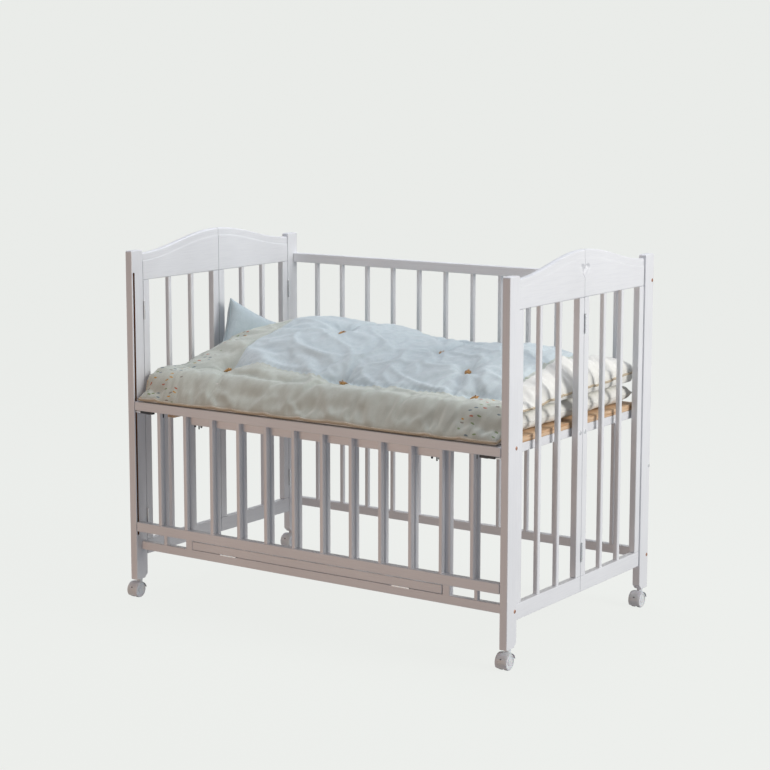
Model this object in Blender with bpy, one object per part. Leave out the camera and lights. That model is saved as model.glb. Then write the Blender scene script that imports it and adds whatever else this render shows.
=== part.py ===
"""Baby crib of painted wood: folding ends, a drop gate, a lift-out slatted base, bedding and casters.

Metres, +Z up, floor at Z = 0. +X is the right end, -Y the gate side, +Y the rear side.
"""

import math

import bmesh
import bpy

# Driving dimensions
LENGTH = 1.245  # outer face to outer face of the end posts
DEPTH = 0.764  # front face to rear face of the posts
POST_HEIGHT = 0.938
POST_THICK = 0.0225  # along X
POST_DEPTH = 0.047  # along Y
FIT = 0.0003  # between pieces that touch
RUN = 0.0015  # between pieces that move past each other
EDGE = 0.002  # softened edge of a rail

# Posts
POST_TOP_EDGE = 0.003
POST_FOOT_CUT = 0.012  # slanted inner corner at the foot
GROOVE_PLAY = 0.00085  # between a gate pin and each wall of the groove
GROOVE_FLOOR = 0.0025  # between a gate pin's end and the groove's floor
GROOVE_INSET = 0.0085  # middle of the groove, back from the post's front face
GROOVE_TOP = 0.062  # below the top of the post
GROOVE_BOTTOM = 0.130  # above the foot of the post

# Heights above the foot of the posts
GATE_LOW = 0.142
GATE_LOW_RAIL = 0.027
GATE_HIGH = 0.490
GATE_HIGH_RAIL = 0.025
FRONT_LOW = 0.086
FRONT_LOW_RAIL = 0.0235
FRONT_HIGH_RAIL = 0.025
DOOR_RAIL = 0.023
DOOR_SEAM = 0.001
DOOR_TOP_GAP = 0.003
REAR_HIGH_RAIL = 0.0275
REAR_LOW_RAIL = 0.025
END_LOW = 0.068
END_LOW_RAIL = 0.042

# Heights counted from the top of the posts
REAR_DROP = 0.0615  # down to the rear top rail
BOARD_DROP = 0.085  # down to the lower edge of an end's board
SHOULDER_DROP = 0.010  # down to the board's top edge beside a post
CROWN_RISE = 0.0395  # up to the board's top edge at the middle
POST_HINGE_DROP = 0.144  # down to the upper post hinge
CENTRE_HINGE_DROP = 0.127  # down to the upper centre hinge

# Thicknesses along Y of the long sides, and places of their uprights
SIDE_THICK = 0.021
FRONT_THICK = 0.019
SKIN = 0.0005  # the gate and the rear frame stand this far inside the posts' faces
BALUSTER_WIDE = 0.012
BALUSTER_THICK = 0.014
BALUSTER_EDGE = 0.003
BALUSTERS = 12
END_GAP = 0.0795  # clear gap between a post and the first baluster
TENON = 0.008  # how far a baluster is let into its lower rail
DOOR_FROM = 2  # balusters outside the door at each side
STILE_WIDE = 0.0235

# Folding ends
LEAF_THICK = 0.019
LEAF_GAP = 0.0016  # between a leaf and its post, and between the two leaves
LEAF_STILE = 0.025
LEAF_BALUSTER = 0.0135
LEAF_BALUSTERS = 2
ARCH_HALF = 0.345  # half width of the crown's arch

# Butt hinges
HINGE_TALL = 0.052
PIN_OFF = 0.003  # pin axis off the wood's face
KNUCKLE = 0.0027
PLATE = 0.0008
PLATE_DEEP = 0.016
HINGE_LOW = 0.150  # foot of the posts to a lower hinge
DOOR_HINGE_TALL = 0.004
DOOR_HINGE_LONG = 0.055
DOOR_HINGE_INSET = 0.127  # door's edge to the middle of its hinge

# Gate latches
LATCH_INSET = 0.018  # end of the gate to the latch's case
LATCH_LONG = 0.045
LATCH_WIDE = 0.011
LATCH_TALL = 0.008
PIN_RADIUS = 0.0029
PIN_REACH = 0.0065  # into the groove

# Slatted base
BASE_LOW = 0.485
BASE_BAR = 0.030
BASE_BAR_TALL = 0.023
BASE_CLEAR_X = 0.008
BASE_CLEAR_Y = 0.003
SLATS = 11
SLAT_WIDE = 0.066
SLAT_TALL = 0.016
STRINGER_WIDE = 0.024
STRINGER_TALL = 0.010
STRINGER_INSET = 0.150
BATTEN_WIDE = 0.028
BATTEN_TALL = 0.015
BATTEN_INSET = 0.108  # outer face of the posts to the middle of a batten
BATTEN_END = 0.010  # batten's end back from the base's edge

# Bedding
MATTRESS_TALL = 0.058
MATTRESS_INSET = 0.006
BEDDING_EDGE = 0.016
QUILT_REST = 0.002
QUILT_EDGE = 0.012
QUILT_RIM = 0.050
QUILT_HUMP = 0.090
QUILT_CLEAR = 0.004  # gate to the quilt's front edge
QUILT_SIDE = 0.012
QUILT_STEPS = 10
PILLOW_LONG = 0.240
PILLOW_THICK = 0.075
PILLOW_TALL = 0.105
PILLOW_RISE = 0.076  # mattress to the pillow, which lies on the quilt's edge
PILLOW_SHIFT = 0.065  # middle of the crib to the middle of the pillow
PILLOW_WALL = 0.014

# Twin-wheel casters
WHEEL = 0.022
WHEEL_SIDES = 24
WHEEL_WIDE = 0.011
HOOD_GAP = 0.0011
HOOD_WALL = 0.0014
HOOD_WIDE = 0.034
WEB = 0.0045
AXLE = 0.0025
TRAIL = 0.012
NECK = 0.0085
NECK_TALL = 0.0057
STEM = 0.004
STEM_PLAY = 0.0008
STEM_LONG = 0.032
HOOD_FROM = -38.0  # degrees, front lip
HOOD_TO = 168.0  # degrees, rear lip

# Places worked out from the dimensions above
AXLE_HIGH = WHEEL * math.cos(math.pi / WHEEL_SIDES)  # a flat of the tread lies on the floor
HOOD = WHEEL + HOOD_GAP + HOOD_WALL
OVERHANG = HOOD + TRAIL - POST_DEPTH / 2  # of the front casters' hoods
FRONT = -DEPTH / 2 + OVERHANG / 2
REAR = FRONT + DEPTH
MID = (FRONT + REAR) / 2
OUT = LENGTH / 2
INN = OUT - POST_THICK
FOOT = AXLE_HIGH + HOOD + NECK_TALL
TOP = FOOT + POST_HEIGHT
GATE_FRONT = FRONT + SKIN
GATE_BACK = GATE_FRONT + SIDE_THICK
INNER_FRONT = GATE_BACK + RUN
INNER_BACK = INNER_FRONT + FRONT_THICK
REAR_FRONT = REAR - SKIN - SIDE_THICK
REAR_BACK = REAR - SKIN
FIRST = -INN + END_GAP + BALUSTER_WIDE / 2
PITCH = -2 * FIRST / (BALUSTERS - 1)
FRONT_HIGH = GATE_HIGH + GATE_HIGH_RAIL - FRONT_HIGH_RAIL
REAR_HIGH = POST_HEIGHT - REAR_DROP - REAR_HIGH_RAIL
BOARD_LOW = POST_HEIGHT - BOARD_DROP
DOOR_LOW = FRONT_LOW + FRONT_LOW_RAIL + DOOR_SEAM
DOOR_HIGH = FRONT_HIGH - DOOR_TOP_GAP - DOOR_RAIL
BASE_HALF = INN - BASE_CLEAR_X
BASE_FRONT = INNER_BACK + BASE_CLEAR_Y
BASE_BACK = REAR_FRONT - BASE_CLEAR_Y
GROOVE_WIDTH = 2 * (PIN_RADIUS + GROOVE_PLAY)
GROOVE_DEPTH = PIN_REACH + GROOVE_FLOOR
SLAT_LOW = FOOT + BASE_LOW + BASE_BAR_TALL + FIT
SLAT_TOP = SLAT_LOW + SLAT_TALL
MATTRESS_LOW = SLAT_TOP + FIT
MATTRESS_TOP = MATTRESS_LOW + MATTRESS_TALL
PIN_Y_FRONT = FRONT + POST_DEPTH + LEAF_GAP / 2
PIN_Y_REAR = REAR - POST_DEPTH - LEAF_GAP / 2
PIN_X_POST = INN - PIN_OFF
LEAF_OUT = INN + LEAF_THICK
PIN_X_CENTRE = LEAF_OUT + PIN_OFF


def clear_scene():
    for old in list(bpy.data.objects):
        bpy.data.objects.remove(old, do_unlink=True)


def finish_of(name, colour, roughness, metallic=0.0):
    made = bpy.data.materials.new(name)
    made.use_nodes = True
    shader = made.node_tree.nodes["Principled BSDF"]
    shader.inputs["Base Color"].default_value = (*colour, 1.0)
    shader.inputs["Roughness"].default_value = roughness
    shader.inputs["Metallic"].default_value = metallic
    return made


def add_object(name, mesh, material, place=(0.0, 0.0, 0.0)):
    obj = bpy.data.objects.new(name, mesh)
    obj.location = place
    if material:
        mesh.materials.append(material)
    bpy.context.scene.collection.objects.link(obj)
    return obj


def mesh_from(work, name):
    bmesh.ops.recalc_face_normals(work, faces=work.faces)
    mesh = bpy.data.meshes.new(name)
    work.to_mesh(mesh)
    work.free()
    return mesh


def block(name, low, high, material=None, edge=0.0):
    """A box between two corners, its origin at its centre, with its edges taken off."""
    work = bmesh.new()
    bmesh.ops.create_cube(work, size=1.0)
    size = [b - a for a, b in zip(low, high)]
    bmesh.ops.scale(work, vec=size, verts=work.verts)
    if edge > 0.0:
        bmesh.ops.bevel(work, geom=list(work.edges), offset=edge, segments=1, affect="EDGES")
    centre = [(a + b) / 2 for a, b in zip(low, high)]
    return add_object(name, mesh_from(work, name), material, centre)


def drawn(name, outline, start, end, axis, material=None):
    """A closed outline of 2-D points, extruded from start to end along X, Y or Z."""
    work = bmesh.new()

    def point(a, b, c):
        return {"X": (c, a, b), "Y": (a, c, b), "Z": (a, b, c)}[axis]

    lower = [work.verts.new(point(a, b, start)) for a, b in outline]
    face = work.faces.new(lower)
    pushed = bmesh.ops.extrude_face_region(work, geom=[face])
    step = point(0.0, 0.0, end - start)
    moved = [item for item in pushed["geom"] if isinstance(item, bmesh.types.BMVert)]
    bmesh.ops.translate(work, vec=step, verts=moved)
    return add_object(name, mesh_from(work, name), material)


def arc(radius, start, end, steps, centre=(0.0, 0.0)):
    angles = [math.radians(start + (end - start) * i / steps) for i in range(steps + 1)]
    return [(centre[0] + radius * math.cos(a), centre[1] + radius * math.sin(a)) for a in angles]


def helper(obj):
    obj.hide_render = True
    obj.display_type = "WIRE"
    return obj


def combine(obj, other, operation):
    change = obj.modifiers.new(other.name, "BOOLEAN")
    change.operation = operation
    change.solver = "EXACT"
    change.object = helper(other)
    return obj


def bars(name, places, low, high, wide, thick, along):
    """Upright bars with eased corners, as one helper mesh: places are (x, y) centres."""
    half_x, half_y = (wide / 2, thick / 2) if along == "X" else (thick / 2, wide / 2)
    cut = min(BALUSTER_EDGE, half_x, half_y)
    corners = ((-1, -1), (1, -1), (1, 1), (-1, 1))
    work = bmesh.new()
    for x, y in places:
        ring = []
        for i, (sx, sy) in enumerate(corners):
            flat = (x + sx * (half_x - cut), y + sy * half_y)
            side = (x + sx * half_x, y + sy * (half_y - cut))
            ring += [side, flat] if i % 2 == 0 else [flat, side]
        lower = [work.verts.new((a, b, low)) for a, b in ring]
        upper = [work.verts.new((a, b, high)) for a, b in ring]
        work.faces.new(lower[::-1])
        work.faces.new(upper)
        for i in range(len(ring)):
            j = (i + 1) % len(ring)
            work.faces.new((lower[i], lower[j], upper[j], upper[i]))
    return add_object(name, mesh_from(work, name), None)


def comb(name, low, high, places, bar_top, wide, thick, along, material):
    """A rail with the balusters that are glued into it, as one solid."""
    rail = block(name, low, high, material, EDGE)
    uprights = bars(name + "_bars", places, high[2] - TENON, bar_top, wide, thick, along)
    return combine(rail, uprights, "UNION")


def make_post(name, side, rear, material):
    """A post whose foot slants on its inner side, with a caster's hole and, at the front, the gate's groove."""
    outer = REAR if rear else FRONT
    into = -1.0 if rear else 1.0
    inner = outer + into * POST_DEPTH
    outline = [
        (outer, FOOT),
        (inner - into * POST_FOOT_CUT, FOOT),
        (inner, FOOT + POST_FOOT_CUT),
        (inner, TOP - POST_TOP_EDGE),
        (inner - into * POST_TOP_EDGE, TOP),
        (outer + into * POST_TOP_EDGE, TOP),
        (outer, TOP - POST_TOP_EDGE),
    ]
    post = drawn(name, outline, side * INN, side * OUT, "X", material)
    middle = (side * (INN + POST_THICK / 2), outer + into * POST_DEPTH / 2)
    hole = arc(STEM + STEM_PLAY, 0.0, 330.0, 11, middle)
    combine(post, drawn(name + "_hole", hole, FOOT - 0.01, FOOT + STEM_LONG + RUN, "Z"), "DIFFERENCE")
    if not rear:
        near = sorted((side * (INN - 0.01), side * (INN + GROOVE_DEPTH)))
        low = (near[0], FRONT + GROOVE_INSET - GROOVE_WIDTH / 2, FOOT + GROOVE_BOTTOM)
        high = (near[1], FRONT + GROOVE_INSET + GROOVE_WIDTH / 2, TOP - GROOVE_TOP)
        combine(post, block(name + "_groove", low, high), "DIFFERENCE")
    return post


def side_places(y):
    return [(FIRST + i * PITCH, y) for i in range(BALUSTERS)]


def make_rear_frame(white):
    half = INN - FIT
    low, high = FOOT + FRONT_LOW, FOOT + REAR_HIGH
    block("rear_top_rail", (-half, REAR_FRONT, high), (half, REAR_BACK, high + REAR_HIGH_RAIL), white, EDGE)
    corner = (half, REAR_BACK, low + REAR_LOW_RAIL)
    places = side_places((REAR_FRONT + REAR_BACK) / 2)
    sizes = (BALUSTER_WIDE, BALUSTER_THICK, "X")
    comb("rear_baluster_rail", (-half, REAR_FRONT, low), corner, places, high - FIT, *sizes, white)


def make_front_frame(white):
    """The fixed frame behind the gate, whose middle is left open for the storage door."""
    half = INN - FIT
    high = FOOT + FRONT_HIGH
    low = FOOT + FRONT_LOW
    y = (INNER_FRONT + INNER_BACK) / 2
    block("front_top_rail", (-half, INNER_FRONT, high), (half, INNER_BACK, high + FRONT_HIGH_RAIL), white, EDGE)
    places = [place for i, place in enumerate(side_places(y)) if min(i, BALUSTERS - 1 - i) < DOOR_FROM - 1]
    corner = (half, INNER_BACK, low + FRONT_LOW_RAIL)
    sizes = (BALUSTER_WIDE, BALUSTER_THICK, "X")
    frame = comb("front_lower_frame", (-half, INNER_FRONT, low), corner, places, high - FIT, *sizes, white)
    stiles = [(side * stile_centre(), y) for side in (-1, 1)]
    shape = (STILE_WIDE, FRONT_THICK - 0.001, "X")
    uprights = bars("front_stiles", stiles, low + FRONT_LOW_RAIL - TENON, high - FIT, *shape)
    combine(frame, uprights, "UNION")


def stile_centre():
    """Middle of the stile beside the door, from the crib's middle."""
    last = -(FIRST + (DOOR_FROM - 1) * PITCH)
    return last - BALUSTER_WIDE / 2 + STILE_WIDE / 2


def door_half():
    return stile_centre() - STILE_WIDE / 2 - RUN


def make_door(white, steel):
    """The storage door under the bed, hung on two butt hinges along the fixed frame's lower rail."""
    half = door_half()
    low, high = FOOT + DOOR_LOW, FOOT + DOOR_HIGH
    block("door_top_rail", (-half, INNER_FRONT, high), (half, INNER_BACK, high + DOOR_RAIL), white, EDGE)
    y = (INNER_FRONT + INNER_BACK) / 2
    places = side_places(y)[DOOR_FROM : BALUSTERS - DOOR_FROM]
    corner = (half, INNER_BACK, low + DOOR_RAIL)
    sizes = (BALUSTER_WIDE, BALUSTER_THICK, "X")
    comb("door_baluster_rail", (-half, INNER_FRONT, low), corner, places, high - FIT, *sizes, white)
    seam = low - DOOR_SEAM / 2
    front = INNER_FRONT - FIT
    for side, label in ((-1, "left"), (1, "right")):
        x = side * (half - DOOR_HINGE_INSET)
        start = (x - DOOR_HINGE_LONG / 2, front - PLATE, seam - DOOR_HINGE_TALL / 2)
        end = (x + DOOR_HINGE_LONG / 2, front, seam + DOOR_HINGE_TALL / 2)
        block("door_hinge_" + label, start, end, steel)


def make_gate(white, dark):
    """The drop gate: it rides in the posts' grooves on two lower dowels and two sprung latch pins."""
    half = INN - RUN
    low, high = FOOT + GATE_LOW, FOOT + GATE_HIGH
    block("gate_top_rail", (-half, GATE_FRONT, high), (half, GATE_BACK, high + GATE_HIGH_RAIL), white, EDGE)
    places = side_places((GATE_FRONT + GATE_BACK) / 2)
    corner = (half, GATE_BACK, low + GATE_LOW_RAIL)
    sizes = (BALUSTER_WIDE, BALUSTER_THICK, "X")
    gate = comb("gate_baluster_rail", (-half, GATE_FRONT, low), corner, places, high - FIT, *sizes, white)
    groove = FRONT + GROOVE_INSET
    round_pin = arc(PIN_RADIUS, 0.0, 315.0, 7, (groove, low + GATE_LOW_RAIL / 2))
    reach = INN + PIN_REACH
    for side, label in ((-1, "left"), (1, "right")):
        dowel = drawn("gate_dowel_" + label, round_pin, side * (half - 0.02), side * reach, "X")
        combine(gate, dowel, "UNION")
        make_latch("gate_latch_" + label, side, half - LATCH_INSET, high - FIT, groove, reach, dark)


def make_latch(name, side, outer, top, groove, reach, dark):
    """A latch slide: a case under the gate's rail with a pin that stands in the groove."""
    xs = sorted((side * outer, side * (outer - LATCH_LONG)))
    low = (xs[0], groove - LATCH_WIDE / 2, top - LATCH_TALL)
    high = (xs[1], groove + LATCH_WIDE / 2, top)
    case = block(name, low, high, dark, 0.001)
    round_pin = arc(PIN_RADIUS, 0.0, 315.0, 7, (groove, top - LATCH_TALL / 2))
    pin = drawn(name + "_pin", round_pin, side * (outer - 0.01), side * reach, "X")
    combine(case, pin, "UNION")


def crown(from_middle):
    """Height of the end board's top edge, at a distance from the crib's middle line."""
    share = min(1.0, abs(from_middle) / ARCH_HALF)
    rise = SHOULDER_DROP + CROWN_RISE
    return TOP - SHOULDER_DROP + rise * (0.5 + 0.5 * math.cos(math.pi * share))


def make_leaf(name, side, rear, white):
    """One folding half of an end: a crowned board, a lower rail with its balusters, and two stiles."""
    far = PIN_Y_REAR if rear else PIN_Y_FRONT
    toward = 1.0 if rear else -1.0
    y_post = far - toward * LEAF_GAP / 2
    y_mid = MID + toward * LEAF_GAP / 2
    y_low, y_high = min(y_post, y_mid), max(y_post, y_mid)
    x_low, x_high = sorted((side * INN, side * LEAF_OUT))
    board_low = FOOT + BOARD_LOW
    steps = 14
    ys = [y_high + (y_low - y_high) * i / steps for i in range(steps + 1)]
    outline = [(y_low, board_low), (y_high, board_low)] + [(y, crown(y - MID)) for y in ys]
    drawn(name + "_board", outline, x_low, x_high, "X", white)

    rail_top = FOOT + END_LOW + END_LOW_RAIL
    span = y_high - y_low - 2 * LEAF_STILE
    gap = (span - LEAF_BALUSTERS * LEAF_BALUSTER) / (LEAF_BALUSTERS + 1)
    x_mid = (x_low + x_high) / 2
    places = []
    for i in range(LEAF_BALUSTERS):
        start = y_low + LEAF_STILE + gap + i * (gap + LEAF_BALUSTER)
        places.append((x_mid, start + LEAF_BALUSTER / 2))
    low = (x_low, y_low, FOOT + END_LOW)
    high = (x_high, y_high, rail_top)
    sizes = (LEAF_BALUSTER, BALUSTER_THICK, "Y")
    comb(name + "_rail", low, high, places, board_low - FIT, *sizes, white)

    for label, y in (("post", y_post), ("centre", y_mid)):
        inward = -1.0 if y == y_high else 1.0
        ends = sorted((y, y + inward * LEAF_STILE))
        start = (x_low, ends[0], rail_top + FIT)
        end = (x_high, ends[1], board_low - FIT)
        block(name + "_" + label + "_stile", start, end, white, 0.002)


def make_hinge(name, pin, plate_to, low, steel):
    """A butt hinge's knuckle, standing off the wood's face, with its plate let into the gap."""
    slot = math.degrees(math.asin(PLATE / 2 / KNUCKLE))
    start = 0.0 if plate_to > 0 else 180.0
    knuckle = arc(KNUCKLE, start + slot, start + 360.0 - slot, 12, pin)
    tab_x = pin[0] + plate_to
    outline = knuckle + [(tab_x, pin[1] + p) for p in sorted((-PLATE / 2, PLATE / 2), reverse=plate_to < 0)]
    drawn(name, outline, FOOT + low, FOOT + low + HINGE_TALL, "Z", steel)


def make_hinges(steel):
    post_heights = (HINGE_LOW, POST_HEIGHT - POST_HINGE_DROP - HINGE_TALL)
    centre_heights = (HINGE_LOW, POST_HEIGHT - CENTRE_HINGE_DROP - HINGE_TALL)
    for side, end in ((-1, "left"), (1, "right")):
        for pin_y, post in ((PIN_Y_FRONT, "front"), (PIN_Y_REAR, "rear")):
            for height, level in zip(post_heights, ("lower", "upper")):
                name = f"hinge_{end}_{post}_{level}"
                make_hinge(name, (side * PIN_X_POST, pin_y), side * PLATE_DEEP, height, steel)
        for height, level in zip(centre_heights, ("lower", "upper")):
            name = f"hinge_{end}_centre_{level}"
            make_hinge(name, (side * PIN_X_CENTRE, MID), -side * PLATE_DEEP, height, steel)


def make_base(white, pine):
    """A white frame on two cross battens, with a slat panel laid on it."""
    low, high = FOOT + BASE_LOW, FOOT + BASE_LOW + BASE_BAR_TALL
    ring = block("base_frame", (-BASE_HALF, BASE_FRONT, low), (BASE_HALF, BASE_BACK, high), white)
    inner = (BASE_HALF - BASE_BAR, BASE_FRONT + BASE_BAR, BASE_BACK - BASE_BAR)
    hole = block("base_hole", (-inner[0], inner[1], low - 0.01), (inner[0], inner[2], high + 0.01))
    combine(ring, hole, "DIFFERENCE")

    step = (2 * BASE_HALF - SLAT_WIDE) / (SLATS - 1)
    stringers = []
    for y in (BASE_FRONT + STRINGER_INSET, BASE_BACK - STRINGER_INSET):
        half = inner[0] - RUN
        start = (-half, y - STRINGER_WIDE / 2, SLAT_LOW - STRINGER_TALL)
        end = (half, y + STRINGER_WIDE / 2, SLAT_LOW + SLAT_TALL / 2)
        stringers.append(block(f"stringer_{len(stringers)}", start, end))
    first = None
    for i in range(SLATS):
        x = -BASE_HALF + i * step
        slat = block(f"slat_{i}", (x, BASE_FRONT, SLAT_LOW), (x + SLAT_WIDE, BASE_BACK, SLAT_TOP))
        if first is None:
            first = slat
            first.name = "base_slats"
            first.data.materials.append(pine)
            for stringer in stringers:
                combine(first, stringer, "UNION")
        else:
            combine(first, slat, "UNION")

    for side, label in ((-1, "left"), (1, "right")):
        x = side * (OUT - BATTEN_INSET)
        start = (x - BATTEN_WIDE / 2, BASE_FRONT + BATTEN_END, low - FIT - BATTEN_TALL)
        end = (x + BATTEN_WIDE / 2, BASE_BACK - BATTEN_END, low - FIT)
        block("base_batten_" + label, start, end, pine, 0.004)


def make_bedding(cotton, linen, pale_blue):
    """Plain closed solids for the mattress, the puffed quilt and the pillow behind it."""
    side = BASE_HALF - MATTRESS_INSET
    low = (-side, BASE_FRONT + MATTRESS_INSET, MATTRESS_LOW)
    high = (side, BASE_BACK - MATTRESS_INSET, MATTRESS_TOP)
    block("mattress", low, high, cotton, BEDDING_EDGE)
    make_quilt(linen)
    x = -INN + PILLOW_WALL
    y = MID + PILLOW_SHIFT - PILLOW_LONG / 2
    z = MATTRESS_TOP + PILLOW_RISE
    block("pillow", (x, y, z), (x + PILLOW_THICK, y + PILLOW_LONG, z + PILLOW_TALL), pale_blue, 0.02)


def quilt_top(u, v):
    """Height of the quilt above the mattress, u and v from 0 to 1 along its length and depth."""
    rim = (1 - (2 * u - 1) ** 8) * (1 - (2 * v - 1) ** 8)
    swell = math.exp(-(((u - 0.40) / 0.30) ** 2)) * math.exp(-(((v - 0.52) / 0.36) ** 2))
    return QUILT_REST + QUILT_RIM * rim + QUILT_HUMP * rim * swell


def make_quilt(linen):
    x_low = -INN + QUILT_SIDE
    x_high = INN - QUILT_SIDE
    y_low = GATE_BACK + QUILT_CLEAR
    y_high = REAR_FRONT - QUILT_SIDE
    floor = MATTRESS_TOP + QUILT_REST
    work = bmesh.new()
    count = QUILT_STEPS
    upper, lower = [], []
    for i in range(count + 1):
        u = i / count
        for j in range(count + 1):
            v = j / count
            x = x_low + (x_high - x_low) * u
            y = y_low + (y_high - y_low) * v
            upper.append(work.verts.new((x, y, floor + QUILT_EDGE + quilt_top(u, v))))
            lower.append(work.verts.new((x, y, floor)))
    row = count + 1
    for i in range(count):
        for j in range(count):
            a, b, c, d = i * row + j, (i + 1) * row + j, (i + 1) * row + j + 1, i * row + j + 1
            work.faces.new((upper[a], upper[b], upper[c], upper[d]))
            work.faces.new((lower[d], lower[c], lower[b], lower[a]))
    border = [i * row for i in range(row)]
    border += [count * row + j for j in range(1, row)]
    border += [i * row + count for i in range(count - 1, -1, -1)]
    border += list(range(count - 1, 0, -1))
    for k, a in enumerate(border):
        b = border[(k + 1) % len(border)]
        work.faces.new((upper[a], lower[a], lower[b], upper[b]))
    bmesh.ops.dissolve_limit(work, angle_limit=math.radians(0.5), verts=work.verts, edges=work.edges)
    quilt = add_object("quilt", mesh_from(work, "quilt"), linen)
    low = (x_low, y_low, FOOT + GATE_HIGH + GATE_HIGH_RAIL + QUILT_REST)
    high = (x_high, BASE_FRONT - RUN, floor + QUILT_EDGE / 2)
    combine(quilt, block("quilt_hem", low, high), "UNION")


def make_caster(label, x, y, plastic, grey):
    """A swivel housing on a stem, with a hood over a pair of wheels on one axle."""
    axle_y = y - TRAIL
    centre = (axle_y, AXLE_HIGH)
    hood = arc(HOOD, HOOD_FROM, HOOD_TO, 16, (0.0, 0.0))
    hood += arc(HOOD - HOOD_WALL, HOOD_TO, HOOD_FROM, 16, (0.0, 0.0))
    outline = [(centre[0] - a, centre[1] + b) for a, b in hood]
    half = HOOD_WIDE / 2
    housing = drawn("caster_" + label, outline, x - half, x + half, "X", plastic)
    inside = HOOD - HOOD_WALL / 2
    web = [(centre[0] - a, centre[1] + b) for a, b in arc(inside, 40.0, HOOD_TO, 9)]
    web += [(centre[0] + AXLE * 2.4, centre[1] - AXLE * 2.0), (centre[0] - AXLE * 2.4, centre[1] - AXLE * 2.0)]
    combine(housing, drawn(label + "_web", web, x - WEB / 2, x + WEB / 2, "X"), "UNION")
    neck = drawn(label + "_neck", arc(NECK, 0.0, 330.0, 11, (x, y)), AXLE_HIGH + HOOD - NECK, FOOT - FIT, "Z")
    stem = drawn(label + "_stem", arc(STEM, 0.0, 330.0, 11, (x, y)), FOOT - 0.004, FOOT + STEM_LONG, "Z")
    combine(housing, neck, "UNION")
    combine(housing, stem, "UNION")
    room = drawn(label + "_room", arc(HOOD - HOOD_WALL, 0.0, 337.5, 15, centre), x + WEB / 2, x + half + 0.01, "X")
    room_2 = drawn(label + "_room_2", arc(HOOD - HOOD_WALL, 0.0, 337.5, 15, centre), x - WEB / 2, x - half - 0.01, "X")
    bore = drawn(label + "_bore", arc(AXLE + 0.0004, 0.0, 330.0, 11, centre), x - half, x + half, "X")
    for cutter in (room, room_2, bore):
        combine(housing, cutter, "DIFFERENCE")

    wheel_in = WEB / 2 + RUN
    half_step = 180.0 / WHEEL_SIDES
    tread = arc(WHEEL, half_step, 360.0 - half_step, WHEEL_SIDES - 1, centre)
    wheels = drawn("wheels_" + label, tread, x - wheel_in, x - wheel_in - WHEEL_WIDE, "X", grey)
    other = drawn(label + "_wheel", tread, x + wheel_in, x + wheel_in + WHEEL_WIDE, "X")
    axle = drawn(label + "_axle", arc(AXLE, 0.0, 330.0, 11, centre), x - wheel_in - 0.004, x + wheel_in + 0.004, "X")
    combine(wheels, axle, "UNION")
    combine(wheels, other, "UNION")


def main():
    clear_scene()
    white = finish_of("white_paint", (0.80, 0.80, 0.81), 0.35)
    pine = finish_of("bare_pine", (0.55, 0.30, 0.12), 0.60)
    steel = finish_of("zinc_steel", (0.30, 0.30, 0.31), 0.40, 1.0)
    dark = finish_of("dark_steel", (0.06, 0.06, 0.06), 0.45, 1.0)
    plastic = finish_of("white_plastic", (0.78, 0.78, 0.80), 0.40)
    cotton = finish_of("cotton", (0.85, 0.85, 0.82), 0.90)
    linen = finish_of("blue_linen", (0.45, 0.55, 0.62), 0.90)

    for side, end in ((-1, "left"), (1, "right")):
        x = side * (INN + POST_THICK / 2)
        for rear, label in ((False, "front"), (True, "rear")):
            make_post(f"post_{label}_{end}", side, rear, white)
            make_leaf(f"{end}_{label}", side, rear, white)
            y = REAR - POST_DEPTH / 2 if rear else FRONT + POST_DEPTH / 2
            make_caster(f"{label}_{end}", x, y, plastic, plastic)
    make_rear_frame(white)
    make_front_frame(white)
    make_door(white, steel)
    make_gate(white, dark)
    make_hinges(steel)
    make_base(white, pine)
    make_bedding(cotton, linen, linen)


main()
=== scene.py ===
"""Looks of a white wooden baby crib: lacquered frame, folding ends, drop gate, quilted bedding, casters.

Metres. +X is the right end, -Y the gate side, +Z up, floor at Z = 0.
"""

import math
import random

import bmesh
import bpy
import numpy as np
from mathutils import Euler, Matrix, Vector, noise


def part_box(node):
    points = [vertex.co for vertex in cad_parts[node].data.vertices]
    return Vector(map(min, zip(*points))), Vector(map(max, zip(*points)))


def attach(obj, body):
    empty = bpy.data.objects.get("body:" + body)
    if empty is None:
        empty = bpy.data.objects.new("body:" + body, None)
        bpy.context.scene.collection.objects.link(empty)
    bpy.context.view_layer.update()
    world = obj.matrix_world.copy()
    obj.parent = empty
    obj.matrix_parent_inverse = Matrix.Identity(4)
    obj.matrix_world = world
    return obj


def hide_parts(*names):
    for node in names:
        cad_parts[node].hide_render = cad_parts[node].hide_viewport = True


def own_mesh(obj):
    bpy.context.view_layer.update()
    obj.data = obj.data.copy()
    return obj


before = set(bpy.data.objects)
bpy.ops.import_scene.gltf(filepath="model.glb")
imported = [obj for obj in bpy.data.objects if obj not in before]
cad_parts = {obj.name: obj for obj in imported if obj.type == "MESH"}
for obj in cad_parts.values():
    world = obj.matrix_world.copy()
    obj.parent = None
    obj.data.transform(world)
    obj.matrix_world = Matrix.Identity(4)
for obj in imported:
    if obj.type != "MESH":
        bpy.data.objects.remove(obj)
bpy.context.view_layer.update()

# Sizes of small work that the CAD nodes don't carry, in metres
ROUND = 0.0022  # eased edge of a rail
POST_ROUND = 0.0028
BAR_ROUND = 0.0034  # eased corner of a baluster
BAND_DROP = 0.0195  # crown's edge down to the moulded line
BAND_LINE = 0.0014  # depth of the moulded line
BAND_STEP = 0.0012  # the edge above the line stands this far back
HEART_WIDE = 0.056
HEART_TALL = 0.044
HEART_DROP = 0.057  # crown's edge down to the middle of the hollow
HEART_DEEP = 0.006
HEART_DISH = 0.009  # the hollow reaches its full depth this far in from its outline
SLATS = 11
SLAT_WIDE = 0.066
SLAT_TALL = 0.016
QUILT_CELL = 0.0085
PIPING = 0.0032
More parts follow.
